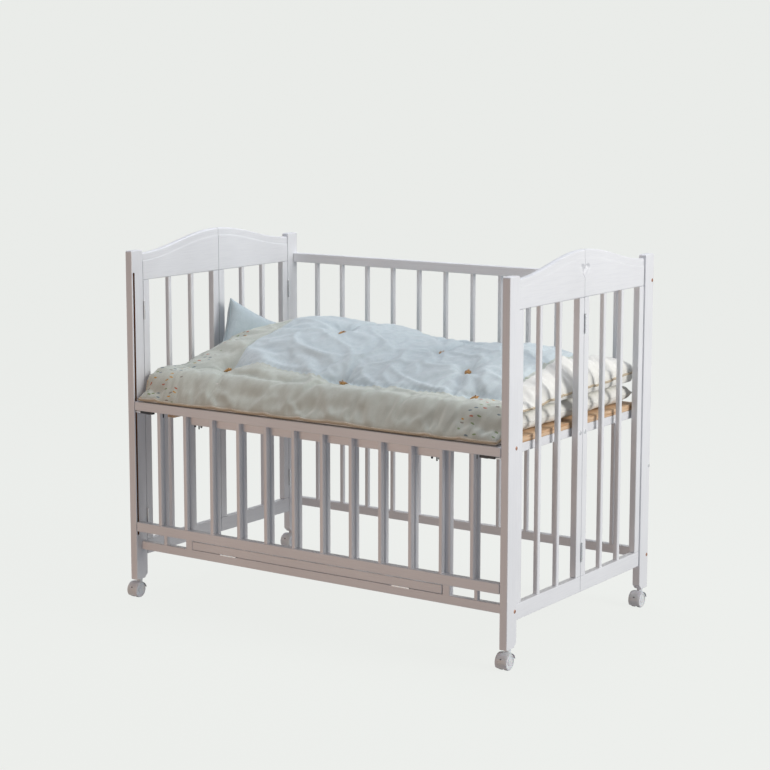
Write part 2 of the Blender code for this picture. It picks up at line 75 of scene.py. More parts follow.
THREAD = 0.0016  # spacing of the drawn weave, coarser than real thread so that it shows


# ---------------------------------------------------------------- colour and nodes


def shade(hexa):
    """An sRGB hex colour as linear RGBA."""
    parts = [int(hexa[i : i + 2], 16) / 255 for i in (1, 3, 5)]
    return (*[p / 12.92 if p <= 0.04045 else ((p + 0.055) / 1.055) ** 2.4 for p in parts], 1.0)


def add(tree, kind, values=None, links=None, **settings):
    """A node with its settings, its sockets' values, and the sockets that feed it."""
    made = tree.nodes.new(kind)
    for name, value in settings.items():
        setattr(made, name, value)
    for socket, value in (values or {}).items():
        made.inputs[socket].default_value = value
    for socket, source in (links or {}).items():
        tree.links.new(source, made.inputs[socket])
    return made


def new_material(name, roughness, metallic=0.0, **values):
    made = bpy.data.materials.new(name)
    made.use_nodes = True
    shader = made.node_tree.nodes["Principled BSDF"]
    shader.inputs["Roughness"].default_value = roughness
    shader.inputs["Metallic"].default_value = metallic
    for socket, value in values.items():
        shader.inputs[socket.replace("_", " ")].default_value = value
    return made, made.node_tree, shader


def ramp_of(tree, factor, stops):
    made = add(tree, "ShaderNodeValToRGB", links={"Fac": factor})
    band = made.color_ramp
    while len(band.elements) < len(stops):
        band.elements.new(0.5)
    for element, (place, hexa) in zip(band.elements, stops):
        element.position = place
        element.color = shade(hexa)
    return made.outputs["Color"]


def finish(tree, shader, colour, height, strength, depth):
    """Feeds the shader its colour and its surface relief, depth in metres at full strength."""
    tree.links.new(colour, shader.inputs["Base Color"])
    bump = add(tree, "ShaderNodeBump", {"Strength": strength, "Distance": depth}, {"Height": height})
    tree.links.new(bump.outputs["Normal"], shader.inputs["Normal"])


def lacquered_beech(name, scale):
    """Beech sprayed with satin white lacquer: a faint raised grain runs along the piece."""
    made, tree, shader = new_material(name, 0.38, IOR=1.5, Coat_Weight=0.12, Coat_Roughness=0.25)
    place = add(tree, "ShaderNodeTexCoord").outputs["Object"]
    along = add(tree, "ShaderNodeMapping", {"Scale": scale}, {"Vector": place}).outputs["Vector"]
    # pores 0.5 mm wide in beech, drawn 2.5 mm wide so that they show
    grain = add(
        tree, "ShaderNodeTexNoise", {"Scale": 400.0, "Detail": 3.0, "Roughness": 0.6}, {"Vector": along}
    )
    broad = add(tree, "ShaderNodeTexNoise", {"Scale": 5.0, "Detail": 2.0}, {"Vector": place})
    tint = ramp_of(tree, broad.outputs["Fac"], [(0.3, "#e6e7ea"), (0.7, "#edeef1")])
    streak = ramp_of(tree, grain.outputs["Fac"], [(0.25, "#f8f8f9"), (0.55, "#ffffff")])
    colour = add(
        tree, "ShaderNodeMix", {"Factor": 1.0}, {6: tint, 7: streak}, data_type="RGBA", blend_type="MULTIPLY"
    )
    gloss = add(tree, "ShaderNodeMapRange", {"To Min": 0.36, "To Max": 0.44}, {"Value": grain.outputs["Fac"]})
    tree.links.new(gloss.outputs["Result"], shader.inputs["Roughness"])
    finish(tree, shader, colour.outputs[2], grain.outputs["Fac"], 0.10, 0.0004)
    return made


def planed_wood(name, scale, light, dark, roughness):
    """Bare softwood, planed: bands of early and late wood drawn out along the piece, with fine fibres."""
    made, tree, shader = new_material(name, roughness, IOR=1.45)
    place = add(tree, "ShaderNodeTexCoord").outputs["Object"]
    along = add(tree, "ShaderNodeMapping", {"Scale": scale}, {"Vector": place}).outputs["Vector"]
    # growth rings 4 to 8 mm apart
    rings = add(
        tree, "ShaderNodeTexNoise", {"Scale": 90.0, "Detail": 2.0, "Distortion": 0.6}, {"Vector": along}
    )
    fibres = add(tree, "ShaderNodeTexNoise", {"Scale": 600.0, "Detail": 4.0}, {"Vector": along})
    bands = ramp_of(tree, rings.outputs["Fac"], [(0.32, dark), (0.48, light), (0.62, light), (0.74, dark)])
    fine = ramp_of(tree, fibres.outputs["Fac"], [(0.3, "#d9d2c8"), (0.6, "#ffffff")])
    colour = add(
        tree, "ShaderNodeMix", {"Factor": 0.8}, {6: bands, 7: fine}, data_type="RGBA", blend_type="MULTIPLY"
    )
    finish(tree, shader, colour.outputs[2], fibres.outputs["Fac"], 0.3, 0.0004)
    return made


def plated_metal(name, hexa, roughness, metallic=1.0):
    """Plated or blackened steel: a fine mottle in gloss and tone, with faint rolled lines."""
    made, tree, shader = new_material(name, roughness, metallic)
    place = add(tree, "ShaderNodeTexCoord").outputs["Object"]
    # crystals of the plating about 3 mm across
    mottle = add(tree, "ShaderNodeTexNoise", {"Scale": 330.0, "Detail": 3.0}, {"Vector": place})
    tone = add(
        tree,
        "ShaderNodeMix",
        {"Factor": 0.25, 6: shade(hexa)},
        {7: mottle.outputs["Color"]},
        data_type="RGBA",
        blend_type="MULTIPLY",
    )
    gloss = add(
        tree,
        "ShaderNodeMapRange",
        {"To Min": roughness - 0.08, "To Max": roughness + 0.1},
        {"Value": mottle.outputs["Fac"]},
    )
    tree.links.new(gloss.outputs["Result"], shader.inputs["Roughness"])
    finish(tree, shader, tone.outputs[2], mottle.outputs["Fac"], 0.15, 0.0002)
    return made


def moulded_nylon(name, hexa, roughness):
    """Injection-moulded nylon: even colour with a fine spark-eroded texture."""
    made, tree, shader = new_material(name, roughness, IOR=1.53, Subsurface_Weight=0.05)
    place = add(tree, "ShaderNodeTexCoord").outputs["Object"]
    grit = add(tree, "ShaderNodeTexNoise", {"Scale": 900.0, "Detail": 2.0}, {"Vector": place})
    cloud = add(tree, "ShaderNodeTexNoise", {"Scale": 40.0, "Detail": 1.0}, {"Vector": place})
    tone = add(
        tree,
        "ShaderNodeMix",
        {"Factor": 0.08, 6: shade(hexa)},
        {7: cloud.outputs["Color"]},
        data_type="RGBA",
        blend_type="MULTIPLY",
    )
    finish(tree, shader, tone.outputs[2], grit.outputs["Fac"], 0.12, 0.0002)
    return made


def weave_of(tree, place, spacing):
    """The weft threads, and the height of the crossed warp and weft."""
    scale = 2 * math.pi / spacing / 20  # a sine Wave node has 20 rad for each unit
    warp = add(
        tree, "ShaderNodeTexWave", {"Scale": scale, "Distortion": 0.4}, {"Vector": place}, bands_direction="X"
    )
    weft = add(
        tree, "ShaderNodeTexWave", {"Scale": scale, "Distortion": 0.4}, {"Vector": place}, bands_direction="Y"
    )
    height = add(
        tree, "ShaderNodeMath", {}, {0: warp.outputs["Fac"], 1: weft.outputs["Fac"]}, operation="MULTIPLY"
    )
    return weft.outputs["Fac"], height.outputs["Value"]


def woven(name, light, dark, coordinate, slub=0.5, sheen=0.25):
    """Plain-woven cotton: two yarn tones crossing, with slubs along both threads."""
    made, tree, shader = new_material(name, 0.86, Sheen_Weight=sheen, Sheen_Roughness=0.5)
    place = add(tree, "ShaderNodeTexCoord").outputs[coordinate]
    weft, height = weave_of(tree, place, THREAD)
    colour = cloth_colour(tree, place, weft, light, dark, slub)
    finish(tree, shader, colour, height, 0.3, 0.0003)
    return made


def cloth_colour(tree, place, threads, light, dark, slub):
    across = add(tree, "ShaderNodeMapping", {"Scale": (1.0, 0.12, 1.0)}, {"Vector": place})
    down = add(tree, "ShaderNodeMapping", {"Scale": (0.12, 1.0, 1.0)}, {"Vector": place})
    # slubs 3 mm wide and 25 mm long
    first = add(
        tree, "ShaderNodeTexNoise", {"Scale": 330.0, "Detail": 2.0}, {"Vector": across.outputs["Vector"]}
    )
    second = add(
        tree, "ShaderNodeTexNoise", {"Scale": 330.0, "Detail": 2.0}, {"Vector": down.outputs["Vector"]}
    )
    both = add(
        tree, "ShaderNodeMix", {"Factor": 0.5}, {
            2: first.outputs["Fac"], 3: second.outputs["Fac"]
        }, data_type="FLOAT"
    )
    mixed = add(tree, "ShaderNodeMix", {"Factor": slub}, {2: threads, 3: both.outputs[0]}, data_type="FLOAT")
    return ramp_of(tree, mixed.outputs[0], [(0.36, dark), (0.62, light)])


def quilt_cloth(panel):
    """The quilt's top: a chambray panel inside a printed cotton border, laid out on the cloth's own UV map.

    panel is (low u, high u, low v, high v) of the chambray, in metres along the cloth.
    """
    made, tree, shader = new_material(
        "chambray_and_printed_cotton", 0.84, Sheen_Weight=0.3, Sheen_Roughness=0.45
    )
    place = add(tree, "ShaderNodeUVMap", uv_map="cloth").outputs["UV"]
    weft, height = weave_of(tree, place, THREAD)
    chambray = cloth_colour(tree, place, weft, "#dbe3e4", "#b5c5ca", 0.6)
    cotton = cloth_colour(tree, place, weft, "#d6d9d0", "#b3baae", 0.5)
    layout = add(tree, "ShaderNodeUVMap", uv_map="layout").outputs["UV"]
    split = add(tree, "ShaderNodeSeparateXYZ", {}, {"Vector": layout})
    inside = None
    for axis, low, high in (("X", panel[0], panel[1]), ("Y", panel[2], panel[3])):
        for bound, operation in ((low, "GREATER_THAN"), (high, "LESS_THAN")):
            test = add(tree, "ShaderNodeMath", {1: bound}, {0: split.outputs[axis]}, operation=operation)
            if inside is None:
                inside = test.outputs["Value"]
            else:
                both = add(
                    tree, "ShaderNodeMath", {}, {0: inside, 1: test.outputs["Value"]}, operation="MULTIPLY"
                )
                inside = both.outputs["Value"]
    printed = border_print(tree, place, split, cotton)
    colour = add(tree, "ShaderNodeMix", {}, {0: inside, 6: printed, 7: chambray}, data_type="RGBA")
    finish(tree, shader, colour.outputs[2], height, 0.35, 0.0004)
    return made


def border_print(tree, place, split, cotton):
    """Short plain dashes in a band near the quilt's ends, 29 mm by 11 mm apart, in five muted inks."""
    dashes = add(
        tree, "ShaderNodeMapping", {"Rotation": (0.0, 0.0, 0.6), "Scale": (1.0, 2.6, 1.0)}, {"Vector": place}
    )
    cells = add(
        tree, "ShaderNodeTexVoronoi", {"Scale": 34.0, "Randomness": 0.85}, {
            "Vector": dashes.outputs["Vector"]
        }
    )
    cells.voronoi_dimensions = "2D"
    ink = add(tree, "ShaderNodeSeparateColor", {}, {"Color": cells.outputs["Color"]})
    inks = ramp_of(
        tree,
        ink.outputs["Red"],
        [(0.0, "#c79a3f"), (0.25, "#6f7f86"), (0.45, "#b5694a"), (0.65, "#86996d"), (0.85, "#8f8a80")],
    )
    inks.node.color_ramp.interpolation = "CONSTANT"
    spot = add(tree, "ShaderNodeMath", {1: 0.2}, {0: cells.outputs["Distance"]}, operation="LESS_THAN")
    near = add(tree, "ShaderNodeMath", {1: 0.0}, {0: split.outputs["X"]}, operation="ABSOLUTE")
    band = add(tree, "ShaderNodeMath", {1: 0.462}, {0: near.outputs["Value"]}, operation="GREATER_THAN")
    some = add(tree, "ShaderNodeMath", {1: 0.5}, {0: ink.outputs["Green"]}, operation="GREATER_THAN")
    mask = add(
        tree, "ShaderNodeMath", {}, {0: spot.outputs["Value"], 1: band.outputs["Value"]}, operation="MULTIPLY"
    )
    mask = add(
        tree, "ShaderNodeMath", {}, {0: mask.outputs["Value"], 1: some.outputs["Value"]}, operation="MULTIPLY"
    )
    return add(
        tree, "ShaderNodeMix", {}, {0: mask.outputs["Value"], 6: cotton, 7: inks}, data_type="RGBA"
    ).outputs[2]


# grain runs along the axis whose scale is small
WHITE_X = lacquered_beech("satin_lacquered_beech_x", (0.03, 1.0, 1.0))
WHITE_Y = lacquered_beech("satin_lacquered_beech_y", (1.0, 0.03, 1.0))
WHITE_Z = lacquered_beech("satin_lacquered_beech_z", (1.0, 1.0, 0.03))
GROOVE = planed_wood("bare_beech_groove", (1.0, 1.0, 0.05), "#a37a5c", "#8a6148", 0.7)
PINE = planed_wood("planed_pine", (1.0, 0.06, 1.0), "#e2c3a2", "#c59c76", 0.6)
ZINC = plated_metal("zinc_plated_steel", "#d3d5d9", 0.5)
BLACK = plated_metal("black_oxide_steel", "#3a3a3d", 0.45, 0.8)
COPPER = plated_metal("copper_plated_steel", "#b58c78", 0.38)
NYLON = moulded_nylon("moulded_white_nylon", "#e2e3e6", 0.36)
TREAD = moulded_nylon("moulded_grey_tread", "#55575b", 0.55)
COTTON = woven("white_cotton", "#f0efea", "#dcdbd3", "Object")
PILLOW_CLOTH = woven("pillow_chambray", "#c9d4d9", "#a3b5bd", "UV", 0.6, 0.3)
PIPING_CLOTH = woven("beige_twill_piping", "#cbbca3", "#a8977c", "Object", 0.3)
YARN = woven("mustard_wool_yarn", "#d5a25a", "#9a6a2f", "Object", 0.4, 0.5)


# ---------------------------------------------------------------- making pieces


def piece(name, work, materials, body, nodes=(), smooth=40.0):
    """A finished piece from mesh work: shaded, on its body, standing for its CAD nodes."""
    if isinstance(work, bpy.types.Mesh):
        mesh = work
        mesh.name = name
    else:
        mesh = bpy.data.meshes.new(name)
        work.to_mesh(mesh)
        work.free()
    mesh.shade_smooth()
    mesh.set_sharp_from_angle(angle=math.radians(smooth))
    obj = bpy.data.objects.new(name, mesh)
    bpy.context.scene.collection.objects.link(obj)
    dress(mesh, materials)
    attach(obj, body)
    if nodes:
        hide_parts(*nodes)
    return obj


def dress(mesh, materials):
    """Gives a mesh its materials, unless it has them already."""
    if not mesh.materials:
        for material in materials:
            mesh.materials.append(material)


def plain(obj):
    """The object's mesh with its modifiers worked in."""
    solid = bpy.data.meshes.new_from_object(obj.evaluated_get(bpy.context.evaluated_depsgraph_get()))
    obj.modifiers.clear()
    return solid


def evened(obj):
    """Gives flat faces their own shading beside eased edges."""
    obj.modifiers.new("even", "WEIGHTED_NORMAL").keep_sharp = True
    mesh = plain(obj)
    dress(mesh, list(obj.data.materials))
    obj.data = mesh
    return obj


def slab(work, low, high, radius, index=0, steps=3):
    """A box with rounded edges, added to the work."""
    made = bmesh.ops.create_cube(work, size=1.0)["verts"]
    size = [b - a for a, b in zip(low, high)]
    bmesh.ops.scale(work, vec=size, verts=made)
    bmesh.ops.translate(work, vec=[(a + b) / 2 for a, b in zip(low, high)], verts=made)
    edges = {e for v in made for e in v.link_edges}
    faces = {f for v in made for f in v.link_faces}
    for face in faces:
        face.material_index = index
    if radius > 0:
        bmesh.ops.bevel(
            work, geom=list(edges), offset=radius, segments=steps, profile=0.5, affect="EDGES", material=index
        )
    return work


def turned(work, profile, centre, axis, steps=24, index=0):
    """A closed turned solid: profile is (radius, along) from one end of the axis to the other."""
    rings = []
    for radius, along in profile:
        ring = []
        for i in range(steps if radius > 1e-6 else 1):
            angle = 2 * math.pi * i / steps
            a, b = radius * math.cos(angle), radius * math.sin(angle)
            local = {"X": (along, a, b), "Y": (b, along, a), "Z": (a, b, along)}[axis]
            ring.append(work.verts.new([c + d for c, d in zip(centre, local)]))
        rings.append(ring)
    made = []
    for first, second in zip(rings, rings[1:]):
        for i in range(steps):
            j = (i + 1) % steps
            edge = [first[i % len(first)], first[j % len(first)]]
            corners = list(dict.fromkeys(edge + [second[j % len(second)], second[i % len(second)]]))
            if len(corners) > 2:
                made.append(work.faces.new(corners))
    for cap in (rings[0][::-1], rings[-1]):
        if len(cap) > 1:
            made.append(work.faces.new(cap))
    for face in made:
        face.material_index = index
    bmesh.ops.recalc_face_normals(work, faces=made)
    return work


def from_node(name):
    """A merged copy of a CAD node's mesh, with its flat faces whole."""
    work = bmesh.new()
    work.from_mesh(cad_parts[name].data)
    bmesh.ops.remove_doubles(work, verts=work.verts, dist=1e-5)
    bmesh.ops.dissolve_limit(work, angle_limit=math.radians(1.0), verts=work.verts, edges=work.edges)
    return work


def eased(work, radius, steps=3):
    """Rounds the sharp outside edges of the work."""
    edges = [
        e for e in work.edges if e.is_manifold and e.is_convex and e.calc_face_angle(0) > math.radians(50)
    ]
    bmesh.ops.bevel(
        work, geom=edges, offset=radius, segments=steps, profile=0.5, affect="EDGES", clamp_overlap=True
    )
    return work


# ---------------------------------------------------------------- what repeats, by Geometry Nodes


def new_tree(name, **inputs):
    """A Geometry Nodes tree, and its inputs: each is named with its kind."""
    tree = bpy.data.node_groups.new(name, "GeometryNodeTree")
    tree.interface.new_socket("Geometry", in_out="OUTPUT", socket_type="NodeSocketGeometry")
    for label, kind in inputs.items():
        tree.interface.new_socket(label, in_out="INPUT", socket_type="NodeSocket" + kind)
    return tree, tree.nodes.new("NodeGroupInput").outputs


def bar_row_tree():
    """Bars with eased corners, from a first place by even steps: balusters and slats."""
    spacing = dict.fromkeys(("First", "Step", "Reach"), "Vector")
    section = dict.fromkeys(("Wide", "Thick", "Ease"), "Float")
    tree, given = new_tree("bar_row", Count="Int", **spacing, **section, Finish="Material")
    row = add(
        tree,
        "GeometryNodeMeshLine",
        links={"Count": given["Count"], "Start Location": given["First"], "Offset": given["Step"]},
    )
    outline = add(
        tree, "GeometryNodeCurvePrimitiveQuadrilateral", links={
            "Width": given["Wide"], "Height": given["Thick"]
        }
    )
    # the corner arcs have four points each
    soft = add(
        tree,
        "GeometryNodeFilletCurve",
        {"Count": 4},
        {"Curve": outline.outputs[0], "Radius": given["Ease"]},
        mode="POLY",
    )
    core = add(tree, "GeometryNodeCurvePrimitiveLine", links={"End": given["Reach"]})
    bar = add(
        tree,
        "GeometryNodeCurveToMesh",
        {"Fill Caps": True},
        {"Curve": core.outputs[0], "Profile Curve": soft.outputs[0]},
    )
    rows = add(
        tree, "GeometryNodeInstanceOnPoints", links={"Points": row.outputs[0], "Instance": bar.outputs[0]}
    )
    real = add(tree, "GeometryNodeRealizeInstances", links={"Geometry": rows.outputs[0]})
    painted = add(
        tree, "GeometryNodeSetMaterial", links={"Geometry": real.outputs[0], "Material": given["Finish"]}
    )
    add(tree, "NodeGroupOutput", links={0: painted.outputs[0]})
    return tree


def grown(tree, values, source=None):
    """The plain mesh that a Geometry Nodes tree makes with these inputs."""
    mesh = source or bpy.data.meshes.new("seed")
    obj = bpy.data.objects.new("seed", mesh)
    bpy.context.scene.collection.objects.link(obj)
    change = obj.modifiers.new("grow", "NODES")
    change.node_group = tree
    sockets = {item.name: item.identifier for item in tree.interface.items_tree if item.in_out == "INPUT"}
    for name, value in values.items():
        change[sockets[name]] = value
    solid = plain(obj)
    bpy.data.objects.remove(obj, do_unlink=True)
    return solid


BAR_ROW = bar_row_tree()


def bars(name, count, first, step, reach, wide, thick, ease, material, body, finish_slot, nodes=()):
    """A row of bars as one piece."""
    values = {"Count": count, "First": first, "Step": step, "Reach": reach}
    values.update({"Wide": wide, "Thick": thick, "Ease": ease, "Finish": material})
    return piece(name, grown(BAR_ROW, values), [material], body, nodes, smooth=35.0)


# ---------------------------------------------------------------- the wooden frame


def bar_places(node, axis):
    """Centres, along an axis, of the uprights of a rail's CAD node: they reach above the rail."""
    corners = np.array([v.co[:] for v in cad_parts[node].data.vertices])
    high = corners[corners[:, 2] > corners[:, 2].max() - 0.001]
    along = np.unique(np.round(high[:, axis], 4))
    groups = np.split(along, np.where(np.diff(along) > 0.02)[0] + 1)
    return [float(g.min() + g.max()) / 2 for g in groups], [float(g.max() - g.min()) for g in groups], high


def rail_high(node):
    """Top of the rail in a CAD node of a rail with uprights."""
    corners = np.array([v.co[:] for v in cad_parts[node].data.vertices])
    middle = corners[corners[:, 2] < (corners[:, 2].min() + corners[:, 2].max()) / 2]
    return float(middle[:, 2].max())


def make_comb(node, body, along):
    """A rail and its glued balusters, each baluster a bar let into the rail's top."""
    low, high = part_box(node)
    top = rail_high(node)
    axis = "XY".index(along)
    centres, widths, upper = bar_places(node, axis)
    other = 1 - axis
    rail_low, rail_top = list(low), [high[0], high[1], top]
    if node == "gate_baluster_rail":
        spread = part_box("gate_top_rail")
        rail_low[0], rail_top[0] = spread[0][0], spread[1][0]
    work = slab(bmesh.new(), rail_low, rail_top, ROUND)
    if node == "gate_baluster_rail":
        groove_y = (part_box("gate_latch_left")[0][1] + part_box("gate_latch_left")[1][1]) / 2
        for side in (-1, 1):
            ends = sorted((side * (rail_top[0] - 0.012), side * high[0]))
            centre = (0.0, groove_y, (rail_low[2] + rail_top[2]) / 2)
            turned(
                work,
                [(0.0, ends[0]), (0.0027, ends[0]), (0.0027, ends[1]), (0.0, ends[1])],
                centre,
                "X",
                16,
                1,
            )
    white = WHITE_X if along == "X" else WHITE_Y
    evened(piece(node + "_bar", work, [white, BLACK], body, [node]))
    across = (low[other] + high[other]) / 2
    for broad in (False, True):
        chosen = [c for c, w in zip(centres, widths) if (w > 0.02) == broad]
        if not chosen:
            continue
        width = max(w for w in widths if (w > 0.02) == broad)
        depth = upper[:, other].max() - upper[:, other].min() if broad else 0.014
        groups = split_rows(chosen)
        for count, row in enumerate(groups):
            first = [0.0, 0.0, top - 0.004]
            first[axis], first[other] = row[0], across
            step = [0.0, 0.0, 0.0]
            step[axis] = (row[-1] - row[0]) / max(1, len(row) - 1)
            reach = (0.0, 0.0, high[2] - top + 0.004)
            size = (width, depth) if along == "X" else (depth, width)
            label = f"{node}_uprights_{round(width * 1000)}_{count}"
            bars(label, len(row), first, step, reach, *size, BAR_ROUND, WHITE_Z, body, "white_paint", [node])


def split_rows(centres):
    """Evenly spaced runs of centres."""
    rows, row = [], [centres[0]]
    for centre in centres[1:]:
        if len(row) > 1 and abs((centre - row[-1]) - (row[1] - row[0])) > 0.001:
            rows.append(row)
            row = []
        row.append(centre)
    return rows + [row]


def make_rail(node, body, material=WHITE_X, radius=ROUND):
    low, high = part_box(node)
    work = slab(bmesh.new(), low, high, radius)
    evened(piece(node + "_bar", work, [material], body, [node]))


def make_post(node, body):
    """A post with rounded edges; the gate's groove inside it is left bare."""
    work = from_node(node)
    low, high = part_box(node)
    inner = min(abs(low[0]), abs(high[0]))
    for face in work.faces:
        centre = face.calc_center_median()
        deep = abs(centre.x) > inner + 0.0008 and abs(face.normal.z) < 0.99
        inside = low[1] + 0.003 < centre.y < high[1] - 0.003 and abs(centre.x) < inner + 0.010
        if "front" in node and deep and inside and low[2] + 0.05 < centre.z < high[2] - 0.03:
            face.material_index = 1
    convex = [e for e in work.edges if e.is_manifold and e.is_convex]
    sharp = [e for e in convex if e.calc_face_angle(0) > math.radians(40)]
    outside = [e for e in sharp if not any(f.material_index == 1 for f in e.link_faces)]
    wall = [e for e in outside if not near_hole(e, low)]
    bmesh.ops.bevel(
        work, geom=wall, offset=POST_ROUND, segments=3, profile=0.5, affect="EDGES", clamp_overlap=True
    )
    evened(piece(node + "_turned_edges", work, [WHITE_Z, GROOVE], body, [node]))


def near_hole(edge, low):
    """The caster hole's rim stays sharp."""
    return all(abs(v.co.z - low[2]) < 1e-4 for v in edge.verts) and edge.calc_length() < 0.006


def crown_of(node):
    """Top outline of an end board's CAD node as sorted (y, z)."""
    corners = np.array([v.co[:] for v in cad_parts[node].data.vertices])
    low = corners[:, 2].min()
    points = sorted({(round(float(y), 5), round(float(z), 5)) for _, y, z in corners if z > low + 0.02})
    return np.array(points)


def heart_outline():
    """A plain heart's outline about (0, 0), in metres."""
    t = np.linspace(0, 2 * math.pi, 360, endpoint=False)
    across = np.sin(t) ** 3
    up = (13 * np.cos(t) - 5 * np.cos(2 * t) - 2 * np.cos(3 * t) - np.cos(4 * t) + 2.5) / 14.5
    return np.column_stack([across * HEART_WIDE / 2, up * HEART_TALL / 2])


HEART = heart_outline()


def heart_depth(y, z):
    """How far inside the heart's outline a point lies, and 0 outside it."""
    ends = np.roll(HEART, -1, axis=0)
    spans = (HEART[:, 1] > z) != (ends[:, 1] > z)
    a, b = HEART[spans], ends[spans]
    crossings = y < a[:, 0] + (b[:, 0] - a[:, 0]) * (z - a[:, 1]) / (b[:, 1] - a[:, 1])
    if crossings.sum() % 2 == 0:
        return 0.0
    return float(np.hypot(HEART[:, 0] - y, HEART[:, 1] - z).min())


def graded(low, high, first, last, fine, coarse):
    """Places from low to high, closely spaced between first and last."""
    runs = [(low, first, coarse), (max(low, first), min(high, last), fine), (last, high, coarse)]
    places = [low]
    for start, end, step in runs:
        if end > start:
            places += list(np.linspace(start, end, math.ceil((end - start) / step) + 1)[1:])
    return np.array(places)


def make_board(node, body, side, mid):
    """An end board: rounded edge, a moulded line under its crown, and half of the hollow at the middle."""
    low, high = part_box(node)
    outline = crown_of(node)
    ys = graded(low[1], high[1], mid - 0.032, mid + 0.032, 0.0011, 0.0032)
    shares = graded(0.0, 1.0, 0.24, 0.70, 0.009, 0.020)
    rows = len(shares) - 1
    tops = np.interp(ys, outline[:, 0], outline[:, 1])
    heart_z = outline[:, 1].max() - HEART_DROP
    outer = max(low[0], high[0], key=abs)
    inner = min(low[0], high[0], key=abs)
    work = bmesh.new()
    sheets = {}
    for face_x, out in ((outer, side), (inner, -side)):
        grid = []
        for y, top in zip(ys, tops):
            line = []
            for k in range(rows + 1):
                z = top + (low[2] - top) * shares[k]
                drop = top - z
                ease = edge_ease(drop, ROUND * 1.3) + edge_ease(z - low[2], ROUND)
                ease += edge_ease(high[1] - y, 0.0012) + edge_ease(y - low[1], 0.0012)
                carve = BAND_LINE * math.exp(-(((drop - BAND_DROP) / 0.0019) ** 2))
                carve += BAND_STEP * smooth_step(BAND_DROP, BAND_DROP - 0.004, drop)
                if out == side and side > 0:
                    carve += HEART_DEEP * smooth_step(0.0, HEART_DISH, heart_depth(y - mid, z - heart_z))
                line.append(work.verts.new((face_x - out * (ease + carve), y, z)))
            grid.append(line)
        sheets[out] = grid
        for a, b in zip(grid, grid[1:]):
            for k in range(rows):
                work.faces.new((a[k], b[k], b[k + 1], a[k + 1]))
    first, second = sheets[side], sheets[-side]
    ring_a = [c[0] for c in first] + first[-1][1:] + [c[-1] for c in first[-2::-1]] + first[0][-2:0:-1]
    ring_b = [c[0] for c in second] + second[-1][1:] + [c[-1] for c in second[-2::-1]] + second[0][-2:0:-1]
    for i in range(len(ring_a)):
        j = (i + 1) % len(ring_a)
        work.faces.new((ring_a[i], ring_a[j], ring_b[j], ring_b[i]))
    bmesh.ops.recalc_face_normals(work, faces=work.faces)
    piece(node + "_moulded", work, [WHITE_Y], body, [node], smooth=50.0)


def edge_ease(distance, radius):
    """How far a surface falls back at a distance from its rounded edge."""
    if distance >= radius:
        return 0.0
    return radius - math.sqrt(max(0.0, radius**2 - (radius - distance) ** 2))


def smooth_step(start, end, value):
    t = min(1.0, max(0.0, (value - start) / (end - start)))
    return t * t * (3 - 2 * t)


def make_frame(mid):
    for label in ("left", "right"):
        make_post(f"post_front_{label}", "front_side")
        make_post(f"post_rear_{label}", "root")
    sides = (("rear", "root"), ("front", "front_side"), ("door", "front_side"), ("gate", "gate"))
    for side, body in sides:
        make_rail(f"{side}_top_rail", body)
    for side, body in sides:
        lower = "front_lower_frame" if side == "front" else f"{side}_baluster_rail"
        make_comb(lower, body, "X")
    for side, end in ((-1, "left"), (1, "right")):
        for half in ("front", "rear"):
            leaf = f"{end}_{half}"
            make_comb(leaf + "_rail", leaf + "_leaf", "Y")
            make_board(leaf + "_board", leaf + "_leaf", side, mid)
            for upright in ("post_stile", "centre_stile"):
                make_rail(f"{leaf}_{upright}", leaf + "_leaf", WHITE_Z)


# ---------------------------------------------------------------- metalwork


def make_hinges():
    """Butt hinges: five knuckles on a pin with rounded ends, and the plates' edges in the seam."""
    groups = {
        "root": ["left_rear", "right_rear"],
        "front_side": ["left_front", "right_front"],
        "left_rear_leaf": ["left_centre"],
        "right_rear_leaf": ["right_centre"],
    }
    for body, places in groups.items():
        work = bmesh.new()
        nodes = []
        for place in places:
            for level in ("lower", "upper"):
                node = f"hinge_{place}_{level}"
                nodes.append(node)
                low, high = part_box(node)
                centre_y = (low[1] + high[1]) / 2
                radius = (high[1] - low[1]) / 2
                side = 1 if low[0] > 0 else -1
                inward = "centre" not in place
                edge = low[0] if (side > 0) == inward else high[0]
                pin_x = edge + radius if edge == low[0] else edge - radius
                tall = (high[2] - low[2]) / 5
                for k in range(5):
                    z = low[2] + k * tall
                    profile = [(0.0, z + 0.0002), (radius * 0.86, z + 0.0002), (radius, z + 0.0006)]
                    profile += [
                        (radius, z + tall - 0.0006),
                        (radius * 0.86, z + tall - 0.0002),
                        (0.0, z + tall - 0.0002),
                    ]
                    turned(work, profile, (pin_x, centre_y, 0.0), "Z", 16)
                tab = high[0] if edge == low[0] else low[0]
                slab(
                    work,
                    (min(pin_x, tab), centre_y - 0.0004, low[2] + 0.0004),
                    (max(pin_x, tab), centre_y + 0.0004, high[2] - 0.0004),
                    0.0,
                )
        piece(f"butt_hinges_{body}", work, [ZINC], body, nodes)


def bolt(work, place, axis, direction, radius, index=0):
    """A domed bolt head with a hexagon socket, sitting proud on a face."""
    rise = 0.0011
    steps = 18
    outer = [(radius, 0.0), (radius, rise * 0.35), (radius * 0.8, rise * 0.85), (radius * 0.52, rise)]
    profile = [(0.0, -0.0002)] + outer + [
        (radius * 0.48, rise * 0.9), (radius * 0.46, rise * 0.1), (0.0, rise * 0.1)
    ]
    turned(work, [(r, a * direction) for r, a in profile], place, axis, steps, index)
    return work


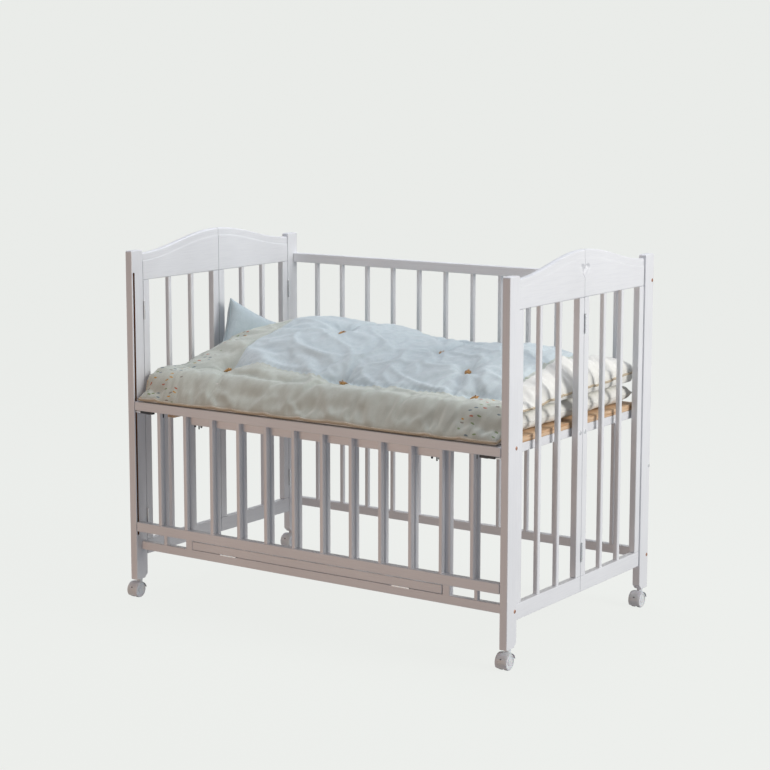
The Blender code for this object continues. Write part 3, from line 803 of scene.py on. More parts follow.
def make_bolts(mid):
    """Copper and zinc plated joint bolts on the posts' ends, and ring screws on the centre stiles."""
    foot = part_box("post_front_right")[0][2]
    front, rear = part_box("post_front_right")[0][1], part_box("post_rear_right")[1][1]
    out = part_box("post_front_right")[1][0]
    for body, places in {
        "front_side": [(front + 0.037, 0.510, 0), (front + 0.037, 0.094, 0)],
        "root": [(rear - 0.008, 0.865, 0), (rear - 0.008, 0.094, 0), (rear - 0.006, 0.347, 1)],
    }.items():
        work = bmesh.new()
        for y, z, index in places:
            for side in (-1, 1):
                bolt(work, (side * out, y, foot + z), "X", side, 0.0050, index)
        piece("frame_bolts_" + body, work, [COPPER, ZINC], body)
    for side, end in ((-1, "left"), (1, "right")):
        face = max(abs(corner[0]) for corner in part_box(f"{end}_rear_centre_stile"))
        for half, shift in (("front", -0.0125), ("rear", 0.0125)):
            work = bmesh.new()
            bolt(work, (side * face, mid + shift, foot + 0.498), "X", side, 0.0062)
            piece(f"ring_screw_{end}_{half}", work, [ZINC], f"{end}_{half}_leaf")


def make_latches():
    """Latch slides under the gate's top rail: a folded case, a thumb tab and a sprung pin."""
    for side, label in ((-1, "left"), (1, "right")):
        node = f"gate_latch_{label}"
        low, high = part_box(node)
        y = (low[1] + high[1]) / 2
        half = (high[1] - low[1]) / 2
        mid_z = (low[2] + high[2]) / 2
        pin_end = low[0] if side < 0 else high[0]
        case_end = pin_end - side * 0.026
        back = high[0] if side < 0 else low[0]
        xs = sorted((case_end, back))
        work = slab(bmesh.new(), (xs[0], low[1], low[2] + 0.0012), (xs[1], high[1], high[2]), 0.0012)
        grip = back + side * 0.012
        for k in range(4):
            x = grip + side * k * 0.0032
            ends = sorted((x, x + side * 0.0018))
            slab(
                work,
                (ends[0], y - half * 0.7, low[2]),
                (ends[1], y + half * 0.7, low[2] + 0.002),
                0.0005,
                0,
                1,
            )
        ends = sorted((case_end - side * 0.004, pin_end))
        profile = [(0.0, ends[0]), (0.0026, ends[0]), (0.0027, ends[0] + 0.001), (0.0027, ends[1] - 0.001)]
        profile += [(0.0021, ends[1]), (0.0, ends[1])]
        turned(work, profile, (0.0, y, mid_z), "X", 16, 1)
        piece(f"latch_slide_{label}", work, [BLACK, ZINC], f"latch_{label}", [node])


def make_door_fittings():
    """Leaf hinges along the door's seam, its two catches, and the strike hooks beside the gate."""
    work = bmesh.new()
    nodes = []
    for label in ("left", "right"):
        node = f"door_hinge_{label}"
        nodes.append(node)
        low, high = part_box(node)
        slab(work, low, high, 0.0002, 0, 1)
        for k in range(3):
            x = low[0] + (high[0] - low[0]) * (k + 0.5) / 3
            bolt(work, (x, high[1], (low[2] + high[2]) / 2), "Y", -1, 0.0014)
    piece("door_hinges", work, [ZINC], "front_side", nodes)
    low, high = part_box("door_top_rail")
    work = bmesh.new()
    middle = (low[1] + high[1]) / 2
    for side in (-1, 1):
        for inset in (0.012, 0.034):
            x = side * (high[0] - inset)
            profile = [(0.0, -0.0055), (0.0022, -0.0055), (0.003, -0.0035), (0.003, 0.0004), (0.0, 0.0004)]
            turned(work, profile, (x, low[1] + 0.005, low[2]), "Z", 14)
        x = side * (high[0] - 0.022)
        turned(
            work,
            [(0.0, -0.012), (0.0018, -0.011), (0.0022, 0.0004), (0.0, 0.0004)],
            (x, middle, low[2]),
            "Z",
            12,
        )
    piece("door_catches", work, [BLACK], "front_side")
    low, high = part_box("front_lower_frame")
    centres = bar_places("front_lower_frame", 0)[0]
    work = bmesh.new()
    for x in (centres[0], centres[-1]):
        slab(
            work,
            (x - 0.0018, low[1] + 0.0016, high[2] - 0.016),
            (x + 0.0018, low[1] + 0.0028, high[2] - 0.005),
            0.0004,
        )
    piece("gate_strikes", work, [BLACK], "front_side")


# ---------------------------------------------------------------- casters


def make_caster(label):
    """A twin-wheel caster: a domed hood over two discs with raised rims, on a collared stem."""
    hood_low, hood_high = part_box(f"caster_{label}")
    wheel_low, wheel_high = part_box(f"wheels_{label}")
    x = (wheel_low[0] + wheel_high[0]) / 2
    axle_y = (wheel_low[1] + wheel_high[1]) / 2
    radius = (wheel_high[1] - wheel_low[1]) / 2
    axle_z = (wheel_low[2] + wheel_high[2]) / 2
    half = (hood_high[0] - hood_low[0]) / 2
    hood = radius + 0.0025
    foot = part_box("post_front_left")[0][2]
    stem_y = (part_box(f"post_{label}")[0][1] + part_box(f"post_{label}")[1][1]) / 2
    work = bmesh.new()
    hood_shell(work, (x, axle_y, axle_z), hood, half)
    slab(
        work,
        (x - 0.002, axle_y - 0.006, axle_z - 0.004),
        (x + 0.002, axle_y + hood * 0.92, axle_z + 0.006),
        0.001,
    )
    slab(work, (x - 0.002, axle_y - 0.010, axle_z), (x + 0.002, axle_y + 0.013, axle_z + hood * 0.90), 0.001)
    top = foot - 0.0003
    neck = axle_z + hood - 0.006
    profile = [(0.0, neck), (0.0078, neck), (0.0078, top - 0.0042), (0.0084, top - 0.0030), (0.0084, top)]
    profile += [(0.0039, top), (0.0039, foot + 0.030), (0.0030, foot + 0.0318), (0.0, foot + 0.0318)]
    turned(work, profile, (x, stem_y, 0.0), "Z", 24, 0)
    dot = (
        x, axle_y - (hood - 0.0002) * math.cos(math.radians(24)), axle_z + hood * math.sin(math.radians(24))
    )
    turned(work, [(0.0, -0.0007), (0.0021, -0.0007), (0.0021, 0.0005), (0.0, 0.0005)], dot, "Y", 12, 1)
    piece(
        f"caster_hood_{label}", work, [NYLON, TREAD], f"swivel_{label}", [f"caster_{label}"]
    )

    work = bmesh.new()
    for side in (-1, 1):
        inner = x + side * 0.00375
        outer = x + side * (wheel_high[0] - x)
        r = radius * 0.999
        # the tread's edges are rounded and the disc has a raised rim and hub
        profile = [(0.0, inner), (r - 0.0012, inner), (r, inner + side * 0.0012)]
        profile += [
            (r, outer - side * 0.0034),
            (r - 0.0006, outer - side * 0.0017),
            (r - 0.0020, outer - side * 0.0005),
        ]
        profile += [(r - 0.0032, outer), (r - 0.0050, outer), (r - 0.0056, outer - side * 0.0014)]
        profile += [
            (r - 0.0130, outer - side * 0.0017), (r - 0.0137, outer - side * 0.0004), (r - 0.0160, outer)
        ]
        profile += [(0.0, outer)]
        turned(work, profile, (0.0, axle_y, axle_z), "X", 40)
    for face in work.faces:
        middle = face.calc_center_median()
        away = math.hypot(middle.y - axle_y, middle.z - axle_z)
        if away > radius - 0.0009:
            face.material_index = 1
    turned(
        work,
        [(0.0, x - 0.004), (0.0024, x - 0.004), (0.0024, x + 0.004), (0.0, x + 0.004)],
        (0.0, axle_y, axle_z),
        "X",
        12,
        2,
    )
    piece(
        f"twin_wheels_{label}",
        work,
        [NYLON, TREAD, ZINC],
        f"wheel_{label}",
        [f"wheels_{label}"],
    )


def hood_shell(work, centre, radius, half):
    """A curved hood, open below: its edges curl in over the wheels' shoulders."""
    angles = [math.radians(-38 + 206 * i / 26) for i in range(27)]
    across = [-half + 2 * half * k / 12 for k in range(13)]
    layers = []
    for wall in (0.0, 0.0012):
        grid = []
        for angle in angles:
            line = []
            for offset in across:
                share = abs(offset) / half
                r = radius - wall - 0.0016 * share**5
                line.append(
                    work.verts.new(
                        (centre[0] + offset, centre[1] - r * math.cos(angle), centre[2] + r * math.sin(angle))
                    )
                )
            grid.append(line)
        layers.append(grid)
    made = []
    for grid in layers:
        for a, b in zip(grid, grid[1:]):
            for k in range(len(a) - 1):
                made.append(work.faces.new((a[k], b[k], b[k + 1], a[k + 1])))
    rings = [
        g[0] + [line[-1] for line in g[1:]] + g[-1][-2::-1] + [line[0] for line in g[-2:0:-1]] for g in layers
    ]
    for i in range(len(rings[0])):
        j = (i + 1) % len(rings[0])
        made.append(work.faces.new((rings[0][i], rings[0][j], rings[1][j], rings[1][i])))
    bmesh.ops.recalc_face_normals(work, faces=made)


# ---------------------------------------------------------------- slatted base


def make_base():
    low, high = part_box("base_frame")
    work = from_node("base_frame")
    eased(work, 0.002)
    evened(piece("base_ring", work, [WHITE_X], "base", ["base_frame"]))
    for label in ("left", "right"):
        make_rail(f"base_batten_{label}", "base", PINE, 0.004)
    slat_low, slat_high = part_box("base_slats")
    step = (slat_high[0] - slat_low[0] - SLAT_WIDE) / (SLATS - 1)
    first = (slat_low[0] + SLAT_WIDE / 2, slat_low[1], slat_high[2] - SLAT_TALL / 2)
    reach = (0.0, slat_high[1] - slat_low[1], 0.0)
    spacing = (SLATS, first, (step, 0.0, 0.0), reach)
    bars("slats", *spacing, SLAT_WIDE, SLAT_TALL, 0.002, PINE, "base", "bare_pine", ["base_slats"])
    work = bmesh.new()
    for y in (slat_low[1] + 0.150, slat_high[1] - 0.150):
        start = (slat_low[0] + 0.0315, y - 0.012, slat_low[2])
        end = (slat_high[0] - 0.0315, y + 0.012, slat_high[2] - SLAT_TALL + 0.0002)
        slab(work, start, end, 0.0015)
    evened(piece("slat_stringers", work, [PINE], "base", ["base_slats"]))


# ---------------------------------------------------------------- bedding

RIDGE_Y = 0.08
RIDGE_HIGH = 0.673  # above the foot of the posts
# Humps of the ridge: middle, reach and height
HUMPS = ((-0.22, 0.24, 0.050), (0.38, 0.13, 0.021))
# The ridge falls away at the left and the right edge: reach and height
LEFT_FALL = (0.05, 0.079)
RIGHT_FALL = (0.04, 0.061)
HEM = 0.525  # above the foot of the posts
QUILT_LEFT, QUILT_RIGHT = -0.586, 0.586
QUILT_NEAR, QUILT_FAR = -0.372, 0.350
PANEL = (-0.365, 0.505, -0.238, 0.262)  # chambray panel's edges: low and high X, low and high Y
SEAM_TUFTS = (-0.372, 0.016, 0.437)
TUFTS = [(x, -0.234) for x in SEAM_TUFTS] + [(x, 0.240) for x in SEAM_TUFTS]
TUFTS += [(-0.158, 0.010), (0.166, 0.030), (0.342, -0.120)]


def ridge(x):
    """Height of the quilt's ridge above the foot of the posts."""
    z = RIDGE_HIGH + sum(high * math.exp(-(((x - mid) / reach) ** 2)) for mid, reach, high in HUMPS)
    z -= LEFT_FALL[1] * math.exp((QUILT_LEFT - x) / LEFT_FALL[0])
    return z - RIGHT_FALL[1] * math.exp((x - QUILT_RIGHT) / RIGHT_FALL[0])


def cover_height(x, y, foot):
    """Top of the unfilled quilt: it falls to the gate's rail in front and to the mattress behind."""
    top = ridge(x)
    if y < RIDGE_Y:
        t = max(0.0, (y - QUILT_NEAR) / (RIDGE_Y - QUILT_NEAR))
        z = HEM + (top - HEM) * math.sin(math.pi / 2 * t) ** 0.84
        z += 0.010 * math.exp(-(((y + 0.275) / 0.022) ** 2))  # the border puffs up in front of the seam
        z -= 0.008 * math.exp(-(((y + 0.315) / 0.014) ** 2))
        return foot + z
    t = (y - RIDGE_Y) / (QUILT_FAR - RIDGE_Y)
    return foot + top - (top - 0.632) * t * t


def pull(x, y):
    """How far the tufts and the seam draw the cover down, with the puckers that run out from them."""
    depth = 0.0
    for k, (tx, ty) in enumerate(TUFTS):
        reach = math.hypot(x - tx, y - ty)
        if reach < 0.2:
            turn = math.atan2(y - ty, x - tx)
            depth += 0.015 * math.exp(-((reach / 0.032) ** 2)) + 0.009 * math.exp(-((reach / 0.09) ** 2))
            pucker = math.cos(7 * turn + 2.1 * k) + 0.6 * math.cos(11 * turn + k)
            depth += 0.0024 * pucker * (reach / 0.03) * math.exp(-reach / 0.032)
    low_x, high_x, low_y, high_y = PANEL
    inside_x = low_x - 0.01 < x < high_x + 0.01
    inside_y = low_y - 0.01 < y < high_y + 0.01
    seams = ((x - low_x, inside_y), (x - high_x, inside_y), (y - low_y, inside_x), (y - high_y, inside_x))
    for away, along in seams:
        if along:
            depth += 0.0065 * math.exp(-((away / 0.007) ** 2))
    return depth


def creases(x, y):
    """Broad soft folds of the cover, fixed in place."""
    flow = noise.noise(Vector((x * 4.0 + y * 2.0, y * 7.0 - x * 2.0, 3.1)))
    ridged = 1 - abs(noise.noise(Vector((x * 6.0 + flow, y * 13.0 + x * 4.0, 7.7))))
    return 0.008 * ridged**6 + 0.004 * flow


def gathers(x, y):
    """Fine gathers of thin cotton: rays from the tufts, tucks along the seam, and a ruffled hem."""
    low_x, high_x, low_y, _ = PANEL
    drift = noise.noise(Vector((x * 11.0, y * 11.0, 2.2)))
    rise = 0.0
    for k, (tx, ty) in enumerate(TUFTS):
        reach = math.hypot(x - tx, y - ty)
        if reach < 0.2:
            turn = math.atan2(y - ty, x - tx)
            ray = math.cos(13 * turn + 2.6 * drift + k) + 0.5 * math.cos(21 * turn + 2 * k)
            rise += 0.0016 * ray * min(1.0, reach / 0.025) * math.exp(-reach / 0.05)
    if low_x < x < high_x:
        rise += 0.0017 * math.sin(x * 330 + 5 * drift) * math.exp(-abs(y - low_y) / 0.02)
    hem = min(x - QUILT_LEFT, QUILT_RIGHT - x, y - QUILT_NEAR)
    run = x if y - QUILT_NEAR < min(x - QUILT_LEFT, QUILT_RIGHT - x) else y
    rise += 0.0026 * math.sin(run * 210 + 6 * drift) * math.exp(-hem / 0.06) * min(1.0, max(0.0, hem / 0.012))
    weave = 1 - abs(noise.noise(Vector((x * 21.0 + y * 9.0, y * 34.0, 5.5))))
    return rise + 0.0016 * weave**4


def quilt_work(foot, mattress_top, rail_top):
    """The quilt as a closed bag of two layers of cloth: (mesh, grid of top points, pinning weights)."""
    columns = round((QUILT_RIGHT - QUILT_LEFT) / QUILT_CELL)
    rows = round((QUILT_FAR - QUILT_NEAR) / QUILT_CELL)
    xs = np.linspace(QUILT_LEFT, QUILT_RIGHT, columns + 1)
    ys = np.linspace(QUILT_NEAR, QUILT_FAR, rows + 1)
    points, cloth, hold = [], [], []
    for layer in ("top", "under"):
        for x in xs:
            for y in ys:
                rest = rail_top + 0.0022 if y < -0.330 else mattress_top + 0.0022
                slope = smooth_step(-0.362, -0.300, y)
                rim = min(x - QUILT_LEFT, QUILT_RIGHT - x, y - QUILT_NEAR, QUILT_FAR - y)
                if layer == "top":
                    z = cover_height(x, y, foot) - pull(x, y) + creases(x, y)
                    floor = rail_top + 0.0022 + (mattress_top - rail_top) * slope
                    floor += 0.003 + 0.012 * (1 - math.exp(-rim / 0.012))
                    z = max(z, floor)
                    tuft = min(math.hypot(x - a, y - b) for a, b in TUFTS)
                    weight = 1.0 if rim < 0.004 else 0.12 + 0.88 * math.exp(-((tuft / 0.014) ** 2))
                else:
                    z = rest
                    weight = 1.0
                points.append((x, y, z))
                cloth.append((x, y))
                hold.append(weight)
    stride = rows + 1
    size = (columns + 1) * stride
    faces, kinds = [], []
    for i in range(columns):
        for j in range(rows):
            a, b, c, d = i * stride + j, (i + 1) * stride + j, (i + 1) * stride + j + 1, i * stride + j + 1
            faces.append((a, b, c, d))
            kinds.append(1 if xs[i] > 0.515 and ys[j] > -0.26 else 0)
            faces.append((d + size, c + size, b + size, a + size))
            kinds.append(1)
    rim_line = [i * stride for i in range(columns + 1)]
    rim_line += [columns * stride + j for j in range(1, stride)]
    rim_line += [i * stride + rows for i in range(columns - 1, -1, -1)]
    rim_line += list(range(rows - 1, 0, -1))
    for k, a in enumerate(rim_line):
        b = rim_line[(k + 1) % len(rim_line)]
        faces.append((a, a + size, b + size, b))
        kinds.append(1)
    mesh = bpy.data.meshes.new("quilt_cloth")
    mesh.from_pydata(points, [], faces)
    mesh.polygons.foreach_set("material_index", kinds)
    corners = np.empty(len(mesh.loops), dtype=np.int32)
    mesh.loops.foreach_get("vertex_index", corners)
    for name, flat in (("cloth", run_lengths(np.array(points), columns, rows)), ("layout", np.array(cloth))):
        layer = mesh.uv_layers.new(name=name)
        layer.data.foreach_set("uv", flat[corners].ravel())
    return mesh, rim_line, np.array(hold), (columns, rows)


def run_lengths(points, columns, rows):
    """Lengths along the cloth both ways for every point, so that slopes don't draw out the weave."""
    grid = points.reshape(2, columns + 1, rows + 1, 3)
    lengths = []
    for axis in (1, 2):
        steps = np.linalg.norm(np.diff(grid, axis=axis), axis=3)
        run = np.concatenate(
            [np.zeros_like(np.take(steps, [0], axis=axis)), np.cumsum(steps, axis=axis)], axis=axis
        )
        lengths.append(run - np.take(run, [run.shape[axis] // 2], axis=axis))
    return np.stack(lengths, axis=3).reshape(-1, 2)


def filled(mesh, hold, pressure, grow, cap):
    """The mesh after its filling has swelled it, by cloth simulation: hold is how firmly each point stays."""
    obj = bpy.data.objects.new("filling", mesh)
    bpy.context.scene.collection.objects.link(obj)
    pins = obj.vertex_groups.new(name="held")
    for level in np.unique(np.round(hold, 2)):
        pins.add(np.nonzero(np.round(hold, 2) == level)[0].tolist(), float(level), "REPLACE")
    change = obj.modifiers.new("cloth", "CLOTH")
    cloth = change.settings
    cloth.quality = 5
    cloth.mass = 0.25
    cloth.tension_stiffness = 12
    cloth.compression_stiffness = 6
    cloth.shear_stiffness = 4
    cloth.bending_stiffness = 0.08
    cloth.shrink_min = -grow
    cloth.use_pressure = True
    cloth.uniform_pressure_force = pressure
    cloth.vertex_group_mass = "held"
    cloth.pin_stiffness = 1.0
    cloth.effector_weights.gravity = 0.0
    change.collision_settings.use_collision = False
    before = np.array([v.co[:] for v in mesh.vertices])
    scene = bpy.context.scene
    for frame_number in range(1, 21):
        scene.frame_set(frame_number)
    swelled = obj.evaluated_get(bpy.context.evaluated_depsgraph_get()).to_mesh()
    after = np.array([v.co[:] for v in swelled.vertices])
    scene.frame_set(1)
    shift = after - before
    far = np.linalg.norm(shift, axis=1, keepdims=True)
    shift *= np.minimum(1.0, cap / np.maximum(far, 1e-9))
    bpy.data.objects.remove(obj, do_unlink=True)
    mesh.vertices.foreach_set("co", (before + shift).ravel())
    return mesh


def tube(work, path, radius, sides=8, closed=True):
    """A round cord of cloth along a closed path of points."""
    count = len(path)
    rings = []
    for i, point in enumerate(path):
        ahead = (path[(i + 1) % count] - path[i - 1]).normalized()
        side = ahead.cross(Vector((0, 0, 1))).normalized()
        up = side.cross(ahead).normalized()
        ring = []
        for k in range(sides):
            angle = 2 * math.pi * k / sides
            ring.append(
                work.verts.new(point + side * math.cos(angle) * radius + up * math.sin(angle) * radius)
            )
        rings.append(ring)
    made = []
    for i in range(count):
        a, b = rings[i], rings[(i + 1) % count]
        for k in range(sides):
            j = (k + 1) % sides
            made.append(work.faces.new((a[k], a[j], b[j], b[k])))
    bmesh.ops.recalc_face_normals(work, faces=made)
    return work


def tuft_tree():
    """A knotted tuft on each point, turned to its surface and spun by a seeded angle."""
    tree, given = new_tree("tufts", Geometry="Geometry", Knot="Object", Finish="Material")
    knot = add(tree, "GeometryNodeObjectInfo", links={"Object": given["Knot"]})
    up = add(tree, "GeometryNodeInputNamedAttribute", {"Name": "up"}, data_type="FLOAT_VECTOR")
    turn = add(tree, "FunctionNodeAlignRotationToVector", links={"Vector": up.outputs[0]}, axis="Z")
    spin = add(tree, "FunctionNodeRandomValue", {3: 6.28, "Seed": 5}, data_type="FLOAT")
    about = add(tree, "ShaderNodeCombineXYZ", links={"Z": spin.outputs[1]})
    both = add(
        tree,
        "FunctionNodeRotateRotation",
        links={"Rotation": turn.outputs[0], "Rotate By": about.outputs[0]},
        rotation_space="LOCAL",
    )
    set_down = add(
        tree,
        "GeometryNodeInstanceOnPoints",
        links={
            "Points": given["Geometry"], "Instance": knot.outputs["Geometry"], "Rotation": both.outputs[0]
        },
    )
    real = add(tree, "GeometryNodeRealizeInstances", links={"Geometry": set_down.outputs[0]})
    dyed = add(
        tree, "GeometryNodeSetMaterial", links={"Geometry": real.outputs[0], "Material": given["Finish"]}
    )
    add(tree, "NodeGroupOutput", links={0: dyed.outputs[0]})
    return tree


def knot_mesh():
    """A yarn knot about 18 mm across with short cut ends."""
    chance = random.Random(11)
    work = bmesh.new()
    bmesh.ops.create_icosphere(work, subdivisions=3, radius=0.0088)
    for vert in work.verts:
        wrap = 0.0009 * math.sin(900 * vert.co.x + 500 * vert.co.y + 400 * vert.co.z)
        vert.co *= 1 + wrap / 0.0088
        vert.co.z = vert.co.z * 0.60 + 0.0024
    for _ in range(16):
        turn = chance.uniform(0, 2 * math.pi)
        lean = chance.uniform(0.2, 1.0)
        long = chance.uniform(0.008, 0.014)
        path = []
        for k in range(5):
            t = k / 4
            out = long * t * (0.4 + 0.6 * lean)
            drift = turn + 0.5 * t
            rise = 0.005 + long * (0.75 * (1 - lean)) * t - 0.004 * lean * t * t
            path.append((out * math.cos(drift), out * math.sin(drift), rise))
        rings = []
        for k, point in enumerate(path):
            r = 0.0013 * (1 - 0.35 * k / 4)
            around = [
                Vector((math.cos(a), math.sin(a), math.sin(a + 1))) * r for a in (0.0, 1.57, 3.14, 4.71)
            ]
            rings.append([work.verts.new(Vector(point) + step) for step in around])
        for a, b in zip(rings, rings[1:]):
            for k in range(4):
                work.faces.new((a[k], a[(k + 1) % 4], b[(k + 1) % 4], b[k]))
        work.faces.new(rings[0][::-1])
        work.faces.new(rings[-1])
    bmesh.ops.recalc_face_normals(work, faces=work.faces)
    mesh = bpy.data.meshes.new("knot")
    work.to_mesh(mesh)
    work.free()
    return mesh


def draw_back(obj):
    """Gives the piece its own copy of its mesh. The hem lies over the gate's rail."""
    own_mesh(obj)


def make_quilt(foot):
    mattress_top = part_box("mattress")[1][2]
    rail_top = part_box("gate_top_rail")[1][2]
    mesh, rim_line, hold, cells = quilt_work(foot, mattress_top, rail_top)
    mesh = filled(mesh, hold, pressure=2.2, grow=0.05, cap=0.016)
    stride = cells[1] + 1
    size = (cells[0] + 1) * stride
    top_points = [Vector(v.co) for v in mesh.vertices[:size]]
    under = [Vector(v.co) for v in mesh.vertices[size:]]
    for point, vertex in zip(top_points, mesh.vertices):
        rest = rail_top + 0.004 if point.y < -0.330 else mattress_top + 0.004
        vertex.co.z = max(vertex.co.z, rest)
        vertex.co.x = min(max(vertex.co.x, -0.594), 0.594)
        vertex.co.y = min(max(vertex.co.y, -0.3745), 0.360)
    obj = piece("quilt_cover", mesh, [quilt_cloth(PANEL), COTTON], "bedding", ["quilt"], 180.0)
    smooth = obj.modifiers.new("fine", "SUBSURF")
    smooth.levels = smooth.render_levels = 1
    obj.data = plain(obj)
    fine = np.array([v.co[:] for v in obj.data.vertices])
    upward = np.array([v.normal.z > 0.2 for v in obj.data.vertices])
    fine[upward, 2] += [gathers(x, y) for x, y, _ in fine[upward]]
    obj.data.vertices.foreach_set("co", fine.ravel())
    path = [(top_points[i] * 0.55 + under[i] * 0.45) for i in rim_line]
    rim = tube(bmesh.new(), path, PIPING)
    hem = piece("quilt_piping", rim, [PIPING_CLOTH], "bedding", ["quilt"], 180.0)
    tufts = make_tufts(obj)
    for soft in (obj, hem, tufts):
        draw_back(soft)


def make_tufts(quilt):
    points, ups = [], []
    surface = np.array([v.co[:] for v in quilt.data.vertices])
    normals = np.array([v.normal[:] for v in quilt.data.vertices])
    upward = normals[:, 2] > 0.2
    for x, y in TUFTS:
        away = np.hypot(surface[:, 0] - x, surface[:, 1] - y) + np.where(upward, 0.0, 1.0)
        nearest = int(np.argmin(away))
        near = away < 0.02
        points.append(surface[nearest] + (0.0, 0.0, 0.0025))
        ups.append(normals[near].mean(axis=0))
    seeds = bpy.data.meshes.new("tuft_places")
    seeds.from_pydata([tuple(p) for p in points], [], [])
    seeds.attributes.new("up", "FLOAT_VECTOR", "POINT").data.foreach_set("vector", np.array(ups).ravel())
    knot = bpy.data.objects.new("knot", knot_mesh())
    bpy.context.scene.collection.objects.link(knot)
    mesh = grown(tuft_tree(), {"Knot": knot, "Finish": YARN}, seeds)
    bpy.data.objects.remove(knot, do_unlink=True)
    return piece("quilt_tufts", mesh, [YARN], "bedding", ["quilt"], 60.0)


def even_steps(count, crowd):
    """Places from -1 to 1, closer together toward both ends."""
    return [math.copysign(1 - (1 - abs(t)) ** crowd, t) for t in np.linspace(-1, 1, count + 1)]


def cushion(name, centre, half, turn, cells, power, pull_in, gather, cloth, node):
    """A stuffed case: two crowned faces that meet at a sewn edge, sides drawn in between the corners.

    half is (thickness, first side, second side), and the case lies across its thickness.
    """
    firsts, seconds = even_steps(cells[0], 1.7), even_steps(cells[1], 1.7)
    points, places = [], []
    for side in (1, -1):
        for a in firsts:
            for b in seconds:
                first = half[1] * a * (1 - pull_in * (1 - b * b))
                second = half[2] * b * (1 - pull_in * (1 - a * a))
                crown = ((1 - abs(a) ** power) * (1 - abs(b) ** power)) ** 0.5
                ripple = noise.noise(Vector((first * 14, second * 14, 4.0 + side))) * 0.10 * half[0] * crown
                edge_a, edge_b = (1 - abs(a)) * half[1], (1 - abs(b)) * half[2]
                near = math.exp(-min(edge_a, edge_b) / (half[0] * 0.8))
                run = second if edge_a < edge_b else first
                wave = noise.noise(Vector((run * 30, 2.0 * side, 1.0)))
                tuck = gather * near * (math.sin(run * 2 * math.pi / 0.024 + 5 * wave) + wave)
                local = Vector((side * (half[0] * crown + ripple + tuck * crown), first, second))
                local.rotate(turn)
                points.append(centre + local)
                places.append((first + side, second))
    stride = len(seconds)
    size = len(firsts) * stride
    faces = []
    for i in range(cells[0]):
        for j in range(cells[1]):
            a, b, c, d = i * stride + j, (i + 1) * stride + j, (i + 1) * stride + j + 1, i * stride + j + 1
            faces.append((a, b, c, d))
            faces.append((d + size, c + size, b + size, a + size))
    mesh = bpy.data.meshes.new(name)
    mesh.from_pydata([tuple(p) for p in points], [], faces)
    layer = mesh.uv_layers.new(name="cloth")
    corners = np.empty(len(mesh.loops), dtype=np.int32)
    mesh.loops.foreach_get("vertex_index", corners)
    layer.data.foreach_set("uv", np.array(places)[corners].ravel())
    work = bmesh.new()
    work.from_mesh(mesh)
    bmesh.ops.remove_doubles(work, verts=work.verts, dist=2e-5)
    obj = piece(name + "_cover", work, [cloth], "bedding", [node], 180.0)
    smooth = obj.modifiers.new("fine", "SUBSURF")
    smooth.levels = smooth.render_levels = 1
    obj.data = plain(obj)
    rim = [i * stride for i in range(cells[0] + 1)] + [cells[0] * stride + j for j in range(1, stride)]
    rim += [i * stride + cells[1] for i in range(cells[0] - 1, -1, -1)] + list(range(cells[1] - 1, 0, -1))
    seam = tube(bmesh.new(), [points[i] for i in rim], 0.0016, 6)
    piece(name + "_seam", seam, [cloth], "bedding", [node], 180.0)


def make_pillow():
    """A small pillow stood on its side at the left end, sunk in the quilt with one corner up."""
    low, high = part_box("pillow")
    centre = Vector(
        ((low[0] + high[0]) / 2 + 0.004, (low[1] + high[1]) / 2 + 0.016, (low[2] + high[2]) / 2 - 0.066)
    )
    turn = Euler((math.radians(-24), math.radians(-6), 0.0))
    half = (0.034, 0.125, 0.084)
    cushion(
        "pillow", centre, half, turn, (44, 36), 4, 0.10, 0.0016, PILLOW_CLOTH, "pillow"
    )


def make_futon():
    """The futon under the quilt: a full cotton pad, gathered along its sewn edge."""
    low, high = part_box("mattress")
    centre = (Vector(low) + Vector(high)) / 2
    half = ((high[2] - low[2]) / 2, (high[1] - low[1]) / 2 - 0.006, (high[0] - low[0]) / 2 - 0.004)
    turn = Euler((0.0, math.radians(-90), 0.0))
    cushion("futon", centre, half, turn, (84, 130), 26, 0.0, 0.0055, COTTON, "mattress")


# ---------------------------------------------------------------- studio


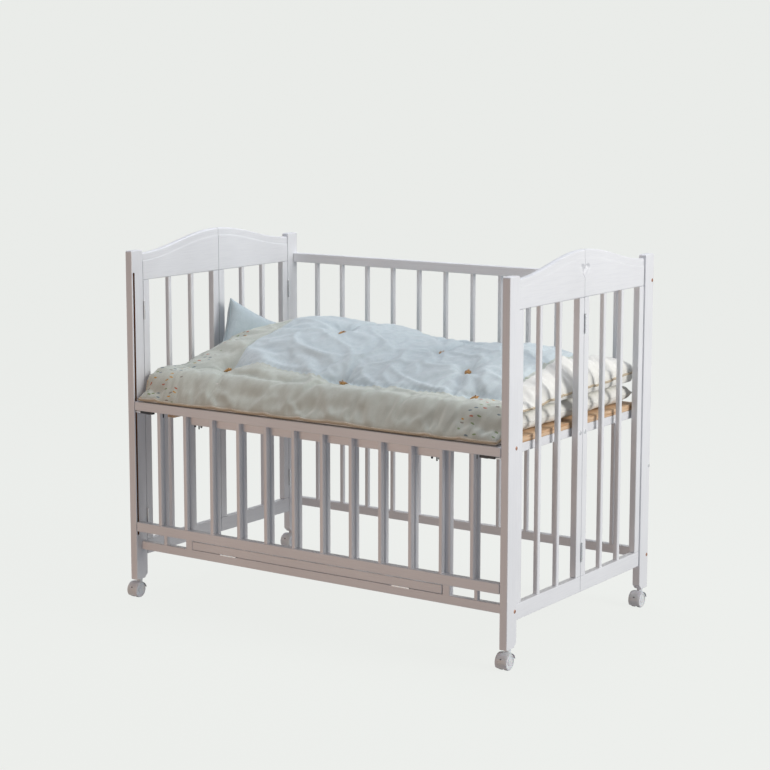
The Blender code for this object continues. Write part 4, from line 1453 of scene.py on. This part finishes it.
def make_studio():
    """A pale cove that its own light keeps even, with soft lights from the right, front and above."""
    scene = bpy.context.scene
    work = bmesh.new()
    profile = [(0.0, 0.0), (3.0, 0.0), (8.0, 0.0), (9.0, 0.15), (9.7, 0.6), (10.0, 1.4), (10.0, 6.0)]
    rings = []
    for radius, z in profile:
        count = 1 if radius == 0 else 96
        rings.append(
            [
                work.verts.new(
                    (radius * math.cos(2 * math.pi * i / 96), radius * math.sin(2 * math.pi * i / 96), z)
                )
                for i in range(count)
            ]
        )
    for first, second in zip(rings, rings[1:]):
        for i in range(96):
            j = (i + 1) % 96
            corners = list(
                dict.fromkeys([first[i % len(first)], first[j % len(first)], second[j], second[i]])
            )
            work.faces.new(corners)
    mesh = bpy.data.meshes.new("studio_cove")
    work.to_mesh(mesh)
    work.free()
    mesh.shade_smooth()
    cove = bpy.data.objects.new("studio_cove", mesh)
    scene.collection.objects.link(cove)
    paper, tree, shader = new_material("matt_paper", 1.0)
    shader.inputs["Base Color"].default_value = shade("#3a3b3a")
    shader.inputs["Specular IOR Level"].default_value = 0.0
    shader.inputs["Emission Color"].default_value = shade("#eaece9")
    shader.inputs["Emission Strength"].default_value = 0.985
    mesh.materials.append(paper)
    cove.visible_diffuse = False
    cove.visible_shadow = False

    world = bpy.data.worlds.new("studio")
    world.use_nodes = True
    world.node_tree.nodes["Background"].inputs["Color"].default_value = shade("#d3d8e2")
    world.node_tree.nodes["Background"].inputs["Strength"].default_value = 0.29
    scene.world = world
    for name, place, aim, size, energy, hexa in (
        ("key", (4.8, 0.4, 2.2), (0.2, 0.0, 0.5), 3.0, 170.0, "#fffdfa"),
        ("front", (-0.6, -2.5, 0.15), (0.0, -0.3, 0.35), 1.6, 11.0, "#ffc48c"),
        ("overhead", (-0.4, 0.4, 3.6), (0.0, 0.0, 0.5), 2.0, 56.0, "#f6f8ff"),
    ):
        data = bpy.data.lights.new(name, "AREA")
        data.shape = "DISK"
        data.size = size
        data.energy = energy
        data.color = shade(hexa)[:3]
        lamp = bpy.data.objects.new(name, data)
        lamp.location = place
        lamp.rotation_euler = (Vector(aim) - Vector(place)).to_track_quat("-Z", "Y").to_euler()
        scene.collection.objects.link(lamp)

    data = bpy.data.cameras.new("camera")
    data.sensor_width = 36
    data.lens = 92.94
    data.shift_x = 0.0145
    data.shift_y = -0.0218
    camera = bpy.data.objects.new("camera", data)
    camera.location = (3.0874, -4.5074, 1.4957)
    camera.rotation_euler = (math.radians(81.371), 0.0, math.radians(34.771))
    scene.collection.objects.link(camera)
    scene.camera = camera
    scene.view_settings.view_transform = "Standard"


def main():
    mid = (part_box("left_front_board")[1][1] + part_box("left_rear_board")[0][1]) / 2
    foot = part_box("post_front_left")[0][2]
    make_studio()
    make_frame(mid)
    make_hinges()
    make_bolts(mid)
    make_latches()
    make_door_fittings()
    for label in ("front_left", "front_right", "rear_left", "rear_right"):
        make_caster(label)
    make_base()
    make_futon()
    make_quilt(foot)
    make_pillow()


main()
